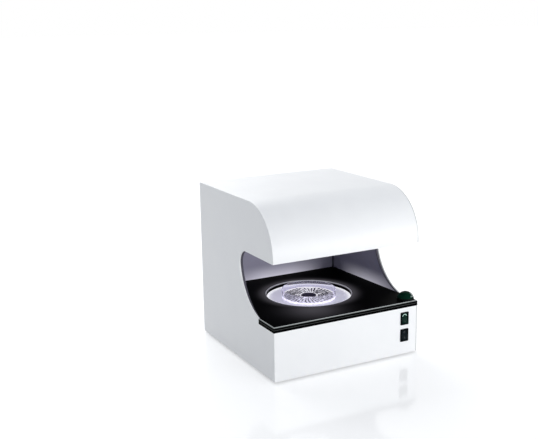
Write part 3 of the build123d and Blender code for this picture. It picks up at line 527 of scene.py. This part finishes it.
cup_white = finish("cup_white", (0.82, 0.82, 0.81), (0.76, 0.76, 0.75), (0.4, 0.5), 0.00002)
dress(cup_white, "light_cup")
circuit_board = finish("circuit_board", (0.03, 0.16, 0.07), (0.02, 0.10, 0.045), (0.3, 0.45), 0.00002,
                       values={"Patch Scale": 400.0})
dress(circuit_board, "lower_led_board", "ring_light_board", "controller_board", "driver_board")
led_white = finish("led_white", (0.85, 0.84, 0.75), (0.7, 0.66, 0.35), (0.3, 0.4), 0.00001)
dress(led_white, "lower_leds", "ring_light_leds")


def led_ring_glow(material, ring_radius, spread, centre, ring):
    """A glow that is brightest over the ring of LEDs, as a bell of the distance from it in millimetres."""
    tree = material.node_tree
    share = bell(tree, reach_from(tree, 0.0, well_y), ring_radius * mm, spread * mm)
    glow(material, share, centre, ring)


opal_light, opal_dark, opal_rough = (0.78, 0.77, 0.84), (0.74, 0.73, 0.80), (0.25, 0.35)
opal_acrylic = finish("opal_acrylic", opal_light, opal_dark, opal_rough, 0.00001,
                      Specular_IOR_Level=0.3, Emission_Strength=1.0)
led_ring_glow(opal_acrylic, 69.5, 5.5, (0.31, 0.305, 0.37), (0.85, 0.85, 0.88))
upper_opal = finish("upper_opal", opal_light, opal_dark, opal_rough, 0.00001, Emission_Strength=1.0)
led_ring_glow(upper_opal, 32.0, 6.0, (0.7, 0.72, 0.8), (1.0, 1.0, 1.0))
dress(opal_acrylic, "diffuser_disc")
dress(upper_opal, "ring_light_diffuser")

# ---------- upper lamp, camera and lens
# A cast ring lamp sits over the ceiling window, and the camera hangs on a bent steel bridge above it. The
# lens's two knurled rings turn on a black anodised barrel, and its cell carries two coated glasses.

cast_silver = finish("cast_silver", (0.55, 0.55, 0.56), (0.45, 0.45, 0.46), (0.4, 0.55), 0.00005,
                     Metallic=1.0)
dress(cast_silver, "ring_light_housing", "driver_heatsink")
camera_black = finish("camera_black", (0.02, 0.02, 0.022), (0.012, 0.012, 0.013), (0.35, 0.5), 0.00003)
dress(camera_black, "camera_body", "lens_barrel", "lens_cell")
lens_glass = finish("lens_glass", (0.9, 0.95, 0.98), (0.85, 0.92, 0.97), (0.01, 0.02), 0.0,
                    Transmission_Weight=1.0, IOR=1.6, Coat_Weight=0.4, Coat_Tint=(0.55, 0.7, 1.0, 1.0))
barrel_fit, grip_radius, grip_bevel, rib_depth, rib_count, rib_steps = 12.05, 14.6, 0.5, 0.035, 48, 6


def knurled_ring(low, high):
    """A ring round the barrel whose outer rows carry ribs:
    radius * (1 - rib depth * (1 - |cos(rib count * angle / 2)|))."""
    waist = grip_radius - grip_bevel
    rows = rounded([(barrel_fit, low, 0.15), (waist, low, 0.2), (grip_radius, low + grip_bevel, 0.2),
                    (grip_radius, high - grip_bevel, 0.2), (waist, high, 0.2), (barrel_fit, high, 0.15)],
                   3, closed=True)
    steps = rib_count * rib_steps
    angle = np.linspace(0.0, whole_turn, steps, endpoint=False)
    ribs = 1.0 - rib_depth * (1.0 - np.abs(np.cos(rib_count * angle / 2)))
    outer = rows[:, :1] > grip_radius - grip_bevel / 2
    return turned(rows, steps, True, np.where(outer, ribs, 1.0))


for ring_name in ("iris_ring", "focus_ring"):
    low, high = span(ring_name)[:, 2]
    make_piece(ring_name + "_grip", [placed(knurled_ring(low, high), (0, well_y, 0))], camera_black,
               ring_name, [ring_name], crisp=50.0)

glass_radius, glass_height, bulge, crown_radius, crown_drop = 8.05, 3.5, 0.75, 4.4275, 0.12
glass_rows = rounded([(0, 0, 0), (crown_radius, crown_drop, 6), (glass_radius, bulge, 0.1),
                      (glass_radius, glass_height - bulge, 0.1),
                      (crown_radius, glass_height - crown_drop, 6), (0, glass_height, 0)], 6)
first_glass_z, last_glass_z = span("lens_glasses")[:, 2] - (0.0, glass_height)
make_piece("lens_glass_pair", [placed(turned(glass_rows, 64), [(0, well_y, first_glass_z),
                                                               (0, well_y, last_glass_z)])],
           lens_glass, "lens_cell", ["lens_glasses"])

# ---------- Petri dish
# The base of a standard 90 mm dish, injection moulded in clear polystyrene. Its wall leans out a little
# towards a rounded rim, and a low ring under the floor keeps the floor off whatever it stands on.

(dish_foot, dish_top), dish_rim = span("petri_dish")[:, 2], span("petri_dish")[1, 0]
dish_floor, foot_step, foot_ring_radius, dish_foot_radius, dish_wall = 1.3, 0.3, 41.0, 44.1, 1.0
# Painted light: the polystyrene has a faint violet glow for the lamp's light that it carries.
clear_polystyrene = finish("clear_polystyrene", (0.86, 0.85, 0.93), (0.84, 0.83, 0.92), (0.02, 0.05), 0.0,
                           Transmission_Weight=0.92, IOR=1.12, Emission_Color=(0.60, 0.57, 0.80, 1.0),
                           Emission_Strength=0.055)
dish_rows = rounded([(0, dish_foot + foot_step, 0), (foot_ring_radius, dish_foot + foot_step, 0.1),
                     (foot_ring_radius + foot_step, dish_foot, 0.1), (dish_foot_radius, dish_foot, 0.6),
                     (dish_rim, dish_top, 0.4), (dish_rim - dish_wall, dish_top, 0.4),
                     (dish_foot_radius - dish_wall, dish_foot + dish_floor, 0.7),
                     (0, dish_foot + dish_floor, 0)], 5)
make_piece("petri_dish_base", [placed(turned(dish_rows, 160), (0, well_y, 0))], clear_polystyrene,
           "dish", ["petri_dish"])

# ---------- agar and colonies
# A thin layer of poured agar with a meniscus up the wall, moist and milky, with a painted glow for the lamp
# shining up through it. A spiral plater has laid bacteria on it: a violet lawn in the middle, then colonies
# in spokes out towards the rim.

agar_floor, agar_top, agar_radius, meniscus = dish_foot + dish_floor, 84.7, 43.12, 0.7
# Painted light: the agar's white glow stands in for the lamp shining up through it.
agar_gel = finish("agar_gel", (0.93, 0.92, 0.95), (0.89, 0.88, 0.92), (0.10, 0.18), 0.00001,
                  Coat_Weight=0.05, Emission_Color=(0.96, 0.94, 1.0, 1.0), Emission_Strength=0.55)
agar_rows = rounded([(0, agar_floor, 0), (agar_radius, agar_floor, 0.2),
                     (agar_radius + 0.04, agar_top + meniscus, 0.05), (agar_radius - 0.5, agar_top, 0.8),
                     (agar_radius - 2.0, agar_top, 0.5), (0, agar_top, 0)], 5)
make_piece("agar_layer", [placed(turned(agar_rows, 128), (0, well_y, 0))], agar_gel, "dish",
           ["agar"], crisp=60.0)

spoke_count, colonies_a_spoke, colony_steps, colony_rings, colony_sink = 38, 8, 11, 3, 0.03
first_reach, spoke_length, crowding, curl = 16.5, 23.0, 0.85, 0.11


def colony_domes():
    """Low domes on the agar, in spokes that curl a little. Each is a polar grid: a ring at share s stands s
    of the half sizes out and height * (1 - s squared) up, and its long axis points away from the dish's
    middle. Colonies grow wider towards the rim and on two opposite sides of the dish."""
    rng = np.random.default_rng(7)
    spoke = np.repeat(np.arange(spoke_count), colonies_a_spoke)
    out = np.tile(np.linspace(0.0, 1.0, colonies_a_spoke), spoke_count)
    reach = first_reach + spoke_length * np.abs(out + rng.normal(0.0, 0.016, out.size)) ** crowding
    turn = whole_turn * spoke / spoke_count + curl * out + rng.normal(0.0, 0.012, out.size)
    streak = np.abs(np.cos(turn + 0.45))
    grown = rng.random(out.size) < 0.80 + 0.18 * streak - 0.35 * (out < 0.05)
    reach, turn, streak = (value[grown][:, None, None] for value in (reach, turn, streak))
    half_length = rng.uniform(1.7, 2.7, reach.shape)
    half_width = rng.uniform(1.05, 1.75, reach.shape) * (0.25 + 0.75 * reach / 40.0) * (1.05 + streak)
    height = 0.32 * rng.uniform(0.7, 1.2, reach.shape)
    share = np.linspace(0.0, 1.0, colony_rings + 1)[None, :, None]
    angle = np.linspace(0.0, whole_turn, colony_steps, endpoint=False)[None, None]
    wobble = 1.0 + 0.09 * np.sin(3 * angle + 7 * turn)
    ahead = reach + half_length * share * wobble * np.cos(angle)
    aside = half_width * share * wobble * np.sin(angle)
    z = agar_top - colony_sink + height * (1 - share ** 2) + 0.0 * angle
    points = np.stack([ahead * np.cos(turn) - aside * np.sin(turn),
                       well_y + ahead * np.sin(turn) + aside * np.cos(turn), z], -1)
    faces = grid_faces(colony_rings + 1, colony_steps)
    steps = (colony_rings + 1) * colony_steps * np.arange(len(reach))
    return points.reshape(-1, 3), (faces + steps[:, None, None]).reshape(-1, 4)


def lawn(radius, depth, rings=14, steps=96):
    """The grown-together middle: a polar grid whose rim wanders, radius * (1 + small waves), and whose
    surface is gently lumpy."""
    share = np.linspace(0.0, 1.0, rings + 1)[:, None]
    angle = np.linspace(0.0, whole_turn, steps, endpoint=False)[None]
    waves = 0.03 * np.sin(5 * angle) + 0.02 * np.sin(13 * angle + 1.0) + 0.015 * np.sin(29 * angle)
    reach = share * radius * (1 + waves)
    lumps = 0.06 * np.sin(9 * share * pi + 3 * angle) * np.sin(7 * angle) * share
    z = agar_top - colony_sink + depth * np.sqrt(np.maximum(1 - share ** 4, 0.0)) + lumps * (1 - share)
    points = np.stack([reach * np.cos(angle), well_y + reach * np.sin(angle), z + 0 * angle], -1)
    return points.reshape(-1, 3), grid_faces(rings + 1, steps)


colony_violet = finish("colony_violet", (0.045, 0.030, 0.075), (0.018, 0.011, 0.032), (0.3, 0.45), 0.00001,
                       values={"Patch Scale": 260.0}, Specular_IOR_Level=0.1)
lawn_radius, lawn_depth = 12.8, 0.4
make_piece("colony_lawn_and_spokes", [colony_domes(), lawn(lawn_radius, lawn_depth)], colony_violet, "dish",
           crisp=180.0)

# ---------- rocker switches
# Two snap-in rocker switches. Each is a black moulded frame with a soft-edged bezel, and a rocker with a
# hollow face that turns on two trunnions inside it. The upper rocker is moulded in dark green.

front_y = span("front_panel")[0, 1]
switch_x, _, upper_z = span("light_switch_housing").mean(0)
lower_z = span("power_switch_housing")[:, 2].mean()
pivot_y, rocker_lean, rocker_half, rocker_side = front_y + 1.0, radians(8.0), 7.9, 5.2
rocker_rise, rocker_dish, rocker_edge, rocker_end, keel_depth, keel_half = 3.2, 1.5, 0.45, 0.5, 2.5, 2.5
trunnion_radius, trunnion_half = 1.2, 6.35


def boxed(rows, steps=5):
    """Rings of rounded rectangles, one a row of (width, height, corner, out): a closed moulding, out being
    how far the ring stands in front of the sheet."""
    rings = []
    for width, height, corner, out in rows:
        corners = [(across * width / 2, up * height / 2, corner)
                   for across, up in ((1, -1), (1, 1), (-1, 1), (-1, -1))]
        ring = rounded(corners, steps, closed=True)
        rings.append(np.column_stack([ring[:, 0], np.full(len(ring), -out), ring[:, 1]]))
    return np.concatenate(rings), grid_faces(len(rows), 4 * (steps + 1))


switch_black = finish("switch_black", (0.004, 0.006, 0.007), (0.003, 0.004, 0.005), (0.3, 0.4), 0.00002,
                      Specular_IOR_Level=0.02)
opening, bezel, snap_body, tail = (11.0, 17.65), (15.0, 21.0), (12.8, 19.0), (12.2, 18.4)
point = (0.01, 0.01)
frame_rows = [(*point, 0.001, -9.0), (*opening, 0.3, -9.0), (*opening, 0.3, 1.35), (11.25, 17.9, 0.4, 1.65),
              (11.7, 18.35, 0.6, 1.8), (13.4, 19.4, 0.9, 1.8), (14.2, 20.2, 1.0, 1.68),
              (14.75, 20.75, 1.1, 1.35), (*bezel, 1.2, 0.85), (*bezel, 1.2, 0.0), (*snap_body, 0.3, 0.0),
              (*snap_body, 0.3, -19.4), (*tail, 0.3, -20.0), (*point, 0.001, -20.0)]
frame_points, frame_faces = boxed(frame_rows)
for housing, level in (("power_switch_housing", lower_z), ("light_switch_housing", upper_z)):
    make_piece(housing + "_frame", [(frame_points + (switch_x, front_y, level), frame_faces)],
               switch_black, "casing", [housing])


def hollow(along):
    """How far the rocker's face stands out from its pivot: rise - dish * (1 - (along / half) squared)."""
    return rocker_rise - rocker_dish * (1.0 - (along / rocker_half) ** 2)


def leant(out, along, across, level):
    """Points given out of, down and across a rocker, turned back by its lean and set at its pivot."""
    y = pivot_y - cos(rocker_lean) * out - sin(rocker_lean) * along
    z = level + sin(rocker_lean) * out - cos(rocker_lean) * along
    return np.stack([switch_x + across, y, z], -1).reshape(-1, 3)


def rocker(level):
    """One outline, the hollow face in front and the keel behind, carried across the rocker. Towards each
    side it is drawn in round an arc, so that the side edges are soft, and closed at its middle."""
    face_end, shoulder = rocker_half - rocker_end, 0.6
    along = np.linspace(face_end, -face_end, 25)
    face = np.stack([hollow(along), along], -1)
    back = rounded([(hollow(-face_end), -face_end, 0), (rocker_rise, -rocker_half, 0.45),
                    (shoulder, -rocker_half, 0.3), (-keel_depth, -keel_half, 0.6),
                    (-keel_depth, keel_half, 0.6), (shoulder, rocker_half, 0.3),
                    (rocker_rise, rocker_half, 0.45), (hollow(face_end), face_end, 0)], 4)
    outline = np.concatenate([face, back[1:-1]])
    turn = np.linspace(0.0, pi / 2, 5)
    inset, step_in = rocker_edge * (1 - np.sin(turn)), rocker_edge * (1 - np.cos(turn))
    inset = np.concatenate([[0.0], inset, inset[::-1], [0.0]])
    half_across = np.concatenate([[rocker_side], rocker_side - step_in])
    across = np.concatenate([-half_across, half_across[::-1]])
    edge = np.roll(outline, -1, 0) - np.roll(outline, 1, 0)
    inward = unit(np.stack([edge[:, 1], -edge[:, 0]], -1))
    inward *= np.sign((inward * (outline.mean(0) - outline)).sum())
    rings = outline[None] + inset[:, None, None] * inward[None]
    rings[[0, -1]] = outline.mean(0)
    points = leant(rings[..., 0], rings[..., 1], across[:, None] + 0 * rings[..., 0], level)
    return points, grid_faces(len(across), len(outline))


def trunnion(level):
    """The pin that the rocker turns on: a turned rod lying across it."""
    rows = rounded([(0, -trunnion_half, 0), (trunnion_radius, -trunnion_half, 0.2),
                    (trunnion_radius, trunnion_half, 0.2), (0, trunnion_half, 0)])
    return placed(turned(rows, 24), (switch_x, pivot_y, level), (1, 0, 0))


def on_face(across, along, level, proud=0.05):
    """A flat mark's points, across and along the rocker from its pivot, laid on the hollow face."""
    return leant(hollow(along) + proud, along, across, level)


def ring_mark(radius, width, along, level, first=0.0, last=whole_turn, steps=40):
    """A ring or part of one, its middle a way along the rocker: x = r cos t, y = -r sin t."""
    closed = last - first == whole_turn
    angle = np.linspace(first, last, steps, endpoint=not closed)[None]
    reach = radius + width * np.array([-0.5, 0.5])[:, None]
    points = on_face(reach * np.cos(angle), along - reach * np.sin(angle), level)
    return points, grid_faces(2, steps, False, closed)


def bar_mark(width, length, along, level, steps=8):
    """A short bar that lies along the rocker."""
    x, y = np.meshgrid(np.array([-0.5, 0.5]) * width, np.linspace(-0.5, 0.5, steps) * length, indexing="ij")
    return on_face(x, along + y, level), grid_faces(2, steps, False, False)


rocker_black = finish("rocker_black", (0.005, 0.009, 0.011), (0.004, 0.007, 0.009), (0.25, 0.35), 0.00002,
                      Specular_IOR_Level=0.015)
rocker_green = finish("rocker_green", (0.005, 0.022, 0.016), (0.003, 0.016, 0.012), (0.2, 0.3), 0.00001,
                      Specular_IOR_Level=0.015)
for rocker_name, level, plastic, slot in (("power_rocker", lower_z, rocker_black, "switch_black"),
                                          ("light_rocker", upper_z, rocker_green, "switch_green")):
    make_piece(rocker_name + "_key", [rocker(level), trunnion(level)], plastic, rocker_name,
               [rocker_name], crisp=45.0)

mark_grey = finish("mark_grey", (0.05, 0.055, 0.06), (0.04, 0.045, 0.05), (0.4, 0.5), 0.0)
# Painted highlight: a pale mint arc near the upper rocker's top end stands where a highlight lies.
painted_highlight_mint = finish("painted_highlight_mint", (0.52, 0.76, 0.66), (0.44, 0.66, 0.57), (0.35, 0.45), 0.0)
off_ring = ring_mark(1.3, 0.45, -4.6, lower_z)
on_bar = bar_mark(0.5, 3.0, 4.6, lower_z)
mint_highlight_arc = ring_mark(3.7, 1.2, -3.0, upper_z, 0.10 * pi, 0.95 * pi)
low_bar = bar_mark(0.5, 2.6, 5.0, upper_z)
make_piece("power_marks", [off_ring, on_bar], mark_grey, "power_rocker")
make_piece("light_rocker_painted_highlight", [mint_highlight_arc], painted_highlight_mint, "light_rocker")
make_piece("light_rocker_low_bar", [low_bar], mark_grey, "light_rocker")

# ---------- lamp dimmer
# A dark green domed knob on the corner of the plate, turned on the shaft of a potentiometer below. It is
# moulded with a black skirt. Short pale lines on its front-right flank are painted highlights, laid out as
# a pointer and a scale.

knob_x, knob_y, knob_radius, edge_height = 116.3, -117.3, 13.7, 1.5
knob_z, knob_top = span("dimmer_knob")[:, 2]
skirt_height, recess_radius, recess_depth, shaft_radius, groove = 3.4, 8.0, 5.0, 3.0, 0.2
shaft_top = span("dimmer_shaft")[1, 2]
knob_green = finish("knob_green", (0.001, 0.024, 0.014), (0.001, 0.018, 0.010), (0.18, 0.28), 0.00001,
                    Specular_IOR_Level=0.02)
skirt_black = finish("skirt_black", (0.004, 0.006, 0.006), (0.003, 0.004, 0.004), (0.3, 0.4), 0.00001,
                     Specular_IOR_Level=0.02)
cap_height = knob_top - knob_z - edge_height
dome_radius = (knob_radius ** 2 + cap_height ** 2) / (2 * cap_height)
dome_z = knob_top - dome_radius


def dome_rows(low, high, count, proud=0.0):
    """Rows of the dome between two levels, or of one that stands proud of it:
    radius = sqrt((dome radius + proud) squared - (level - dome middle) squared)."""
    level = np.linspace(low, high, count)
    squared = (dome_radius + proud) ** 2 - (level - dome_z) ** 2
    return np.stack([np.sqrt(np.maximum(squared, 0.0)), level], -1)


split_z, split_chamfer = knob_z + skirt_height, 0.12
split_radius = dome_rows(split_z, split_z, 1)[0, 0] - groove
skirt_rows = np.concatenate([
    rounded([(recess_radius, split_z, 0), (recess_radius, knob_z, 0.2), (knob_radius - 0.05, knob_z, 0.5),
             (knob_radius, knob_z + edge_height, 0.6)], 4)[:-1],
    dome_rows(knob_z + edge_height, split_z - split_chamfer, 6), [(split_radius, split_z)]])
make_piece("dimmer_skirt", [placed(turned(skirt_rows, 96, True), (knob_x, knob_y, 0))], skirt_black,
           "dimmer", ["dimmer_knob"], crisp=50.0)
cap_rows = np.concatenate([
    [(0, shaft_top), (shaft_radius, shaft_top), (shaft_radius, knob_z + recess_depth),
     (recess_radius, knob_z + recess_depth), (recess_radius, split_z), (split_radius, split_z)],
    dome_rows(split_z + split_chamfer, knob_top, 26)])
make_piece("dimmer_cap", [placed(turned(cap_rows, 96), (knob_x, knob_y, 0))], knob_green, "dimmer",
           ["dimmer_knob"], crisp=50.0)


def dome_strip(turn, half_width, low, high, proud=0.05, steps=6):
    """A strip laid up the dome: level runs from low to high, and the angle across it keeps its width."""
    rows = dome_rows(low, high, steps, proud)
    angle = radians(turn) + np.array([-1.0, 1.0])[None] * half_width / np.maximum(rows[:, :1], 1.0)
    points = np.stack([knob_x + rows[:, :1] * np.cos(angle), knob_y + rows[:, :1] * np.sin(angle),
                       rows[:, 1:] + 0 * angle], -1)
    return points.reshape(-1, 3), grid_faces(steps, 2, False, False)


# Painted highlights: pale lines on the dome's front-right flank, where light glints on it.
painted_glint_pale = finish("painted_glint_pale", (0.52, 0.58, 0.55), (0.42, 0.48, 0.46), (0.4, 0.5), 0.0)
glint_turn, glint_low, glint_high = -54.0, 96.8, 100.6
line_pitch, line_low, line_high = 12.0, 94.2, 96.6
scale_glints = [dome_strip(glint_turn + line_pitch * step, 0.42, line_low, line_high)
               for step in range(-2, 3)]
long_glint = dome_strip(glint_turn, 0.5, glint_low, glint_high)
make_piece("dimmer_painted_glints", [*scale_glints, long_glint], painted_glint_pale, "dimmer")
dress(switch_black, "dimmer_pot", "board_components")

# ---------- contacts, sockets and leads
# The switch blades and stand-offs are brass. At the back a nickel plated square socket carries the
# camera's signal out on four gilt contacts, and a black panel jack takes the low voltage supply.

contact_brass = finish("contact_brass", (0.72, 0.55, 0.28), (0.6, 0.44, 0.2), (0.25, 0.4), 0.00002,
                       texture=drawn_lines, Metallic=1.0)
dress(contact_brass, "switch_blades", "board_standoffs")
plated_shell = finish("plated_shell", (0.75, 0.75, 0.76), (0.65, 0.65, 0.66), (0.2, 0.3), 0.00002,
                      texture=drawn_lines, Metallic=1.0)
dress(plated_shell, "usb_socket")
usb_x, _, usb_z = span("usb_socket").mean(0)
jack_x, _, jack_z = span("power_jack").mean(0)
contact_pitch, tongue_side = 2.6, 0.84


def facing_back(rows, steps=4):
    """Rings of rounded rectangles like those of a switch frame, but standing out of the back sheet."""
    points, faces = boxed(rows, steps)
    return points * (-1, -1, 1), faces


contact = (0.9, 0.18, 0.05)
contact_rows = [(*point, 0.001, -8.0), (*contact, -8.0), (*contact, -1.4), (*point, 0.001, -1.4)]
contact_points, contact_faces = facing_back(contact_rows, 2)
make_piece("usb_contacts", [(contact_points + (usb_x + across, rear_y, usb_z + up), contact_faces)
                            for across in (-contact_pitch / 2, contact_pitch / 2)
                            for up in (-tongue_side, tongue_side)],
           contact_brass, "casing")

jack_rows = rounded([(0, -11.4, 0), (3.2, -11.4, 0.1), (3.2, 2.6, 0.1), (3.9, 3.26, 0.2), (5.9, 3.26, 0.5),
                     (6.8, 2.3, 0.5), (6.8, 0, 0.1), (5.5, 0, 0.1), (5.5, -13.0, 0.3), (0, -13.0, 0)], 4)
make_piece("power_jack_body", [placed(turned(jack_rows, 64), (jack_x, rear_y, jack_z), (0, 1, 0))],
           switch_black, "casing", ["power_jack"])
pin_rows = rounded([(0, -11.6, 0), (1.0, -11.6, 0.1), (1.0, -0.6, 0.4), (0, -0.2, 0)], 4)
make_piece("power_jack_pin", [placed(turned(pin_rows, 24), (jack_x, rear_y, jack_z), (0, 1, 0))],
           contact_brass, "casing")
lead_black = finish("lead_black", (0.02, 0.02, 0.02), (0.014, 0.014, 0.014), (0.45, 0.6), 0.00003)
dress(lead_black, "camera_cable", "power_lead")

# ---------- feet
# Four round moulded rubber feet carry the instrument. Each has a deep recess, through which a screw and a
# nut inside the base hold it, so that the screw's head stays clear of the bench.

foot_rubber = finish("foot_rubber", (0.03, 0.03, 0.03), (0.02, 0.02, 0.02), (0.6, 0.75), 0.00004, dust=0.3)
foot_x, foot_y, foot_radius, foot_taper, foot_recess, recess_ceiling = 104.0, 105.0, 9.0, 0.5, 2.9, 1.8
foot_spots = [(x, y, 0.0) for x in (-foot_x, foot_x) for y in (-foot_y, foot_y)]
foot_rows = rounded([(screw_radius, recess_ceiling, 0.05), (foot_recess, recess_ceiling, 0.1),
                     (foot_recess, 0, 0.25), (foot_radius - foot_taper, 0, 0.5), (foot_radius, base_z, 0.2),
                     (screw_radius, base_z, 0.05)], 4, closed=True)
make_piece("rubber_foot_set", [placed(turned(foot_rows, 48, True), foot_spots)], foot_rubber, "casing",
           ["rubber_feet"])
foot_seat_z, foot_shank = 1.95, 5.4
foot_screw_spots = [(x, y, foot_seat_z) for x, y, z in foot_spots]
make_piece("foot_screw_set", [placed(button_screw(foot_shank), foot_screw_spots, (0, 0, -1))], screw_zinc,
           "casing", ["foot_screws"])

# ---------- floor, light and camera
# A white bench top that mirrors the instrument faintly, one broad soft light low in front, one above and
# behind, and a pale bluish sky.

floor_reach = 40.0


def background_rays(tree):
    """1 for rays that show the background, from the camera, off gloss or through glass, and else 0."""
    rays = add_node(tree, "ShaderNodeLightPath").outputs
    bent = combine(tree, "MAXIMUM", rays["Is Glossy Ray"], rays["Is Transmission Ray"])
    return combine(tree, "MAXIMUM", rays["Is Camera Ray"], bent)


floor_mesh = bpy.data.meshes.new("floor")
floor_corners = [(floor_reach * x, floor_reach * y, 0) for x, y in ((-1, -1), (1, -1), (1, 1), (-1, 1))]
floor_mesh.from_pydata(floor_corners, [], [(0, 1, 2, 3)])
floor = put_in_scene("floor", floor_mesh)
floor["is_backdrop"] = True

bench_top = bpy.data.materials.new("bench_top")
bench_top.use_nodes = True
tree = bench_top.node_tree
shader = tree.nodes["Principled BSDF"]
shader.inputs["Base Color"].default_value = (0.8, 0.8, 0.8, 1.0)
shader.inputs["Roughness"].default_value = 0.1
shader.inputs["Emission Color"].default_value = (1.0, 1.0, 1.0, 1.0)
bench_glow = times(tree, background_rays(tree), 0.34)
tree.links.new(bench_glow, shader.inputs["Emission Strength"])
floor_mesh.materials.append(bench_top)

world = bpy.data.worlds.new("sky")
bpy.context.scene.world = world
world.use_nodes = True
tree = world.node_tree
seen = background_rays(tree)
sky_blue, white, sky_strength = (0.905, 0.945, 1.0), (1.0, 1.0, 1.0), 0.62
sky = tree.nodes["Background"]
tree.links.new(mix_colour(tree, seen, sky_blue, white), sky.inputs["Color"])
tree.links.new(remap(tree, seen, 0.0, 1.0, sky_strength, 1.0), sky.inputs["Strength"])


def soft_light(name, azimuth, elevation, width, height, watts, distance=1.8):
    """A rectangular area light on a sphere round the instrument, facing its middle. Angles in degrees are
    taken round from the front and up, and lengths are in metres."""
    around, up = radians(azimuth), radians(elevation)
    middle = (cad_low + cad_high) / 2
    out = Vector((sin(around) * cos(up), -cos(around) * cos(up), sin(up)))
    lamp = bpy.data.lights.new(name, "AREA")
    lamp.shape, lamp.size, lamp.size_y, lamp.energy = "RECTANGLE", width, height, watts
    holder = put_in_scene(name, lamp)
    holder.location = middle + out * distance
    holder.rotation_euler = out.to_track_quat("Z", "Y").to_euler()
    holder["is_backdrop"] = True


soft_light("front_light", azimuth=30.0, elevation=4.0, width=1.6, height=0.5, watts=17.6)
soft_light("top_light", azimuth=180.0, elevation=42.0, width=1.4, height=1.2, watts=17.5)

camera_place = Vector((-0.686585, -1.197442, 0.524934))
camera_turn, camera_dip, camera_roll = radians(-27.359), radians(12.788), radians(-0.974)
focal_length_px, image_width_px, sensor_width_mm = 866.917, 538.0, 36.0
ahead = Vector((-sin(camera_turn) * cos(camera_dip), cos(camera_turn) * cos(camera_dip), -sin(camera_dip)))
level = Vector((cos(camera_turn), sin(camera_turn), 0.0))
steep = level.cross(ahead)
across = level * cos(camera_roll) + steep * sin(camera_roll)
upward = steep * cos(camera_roll) - level * sin(camera_roll)
viewer = bpy.data.cameras.new("viewer")
viewer.sensor_width = sensor_width_mm
viewer.lens = focal_length_px / image_width_px * sensor_width_mm
camera = put_in_scene("viewer", viewer)
camera_axes = Matrix((across, upward, -ahead)).transposed().to_4x4()
camera.matrix_world = Matrix.Translation(camera_place) @ camera_axes
bpy.context.scene.camera = camera
bpy.context.scene.view_settings.view_transform = "Standard"

# ---------- sizes
# The box of the dressed model is measured here, as the CAD model's box was at the start.

low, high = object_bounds()
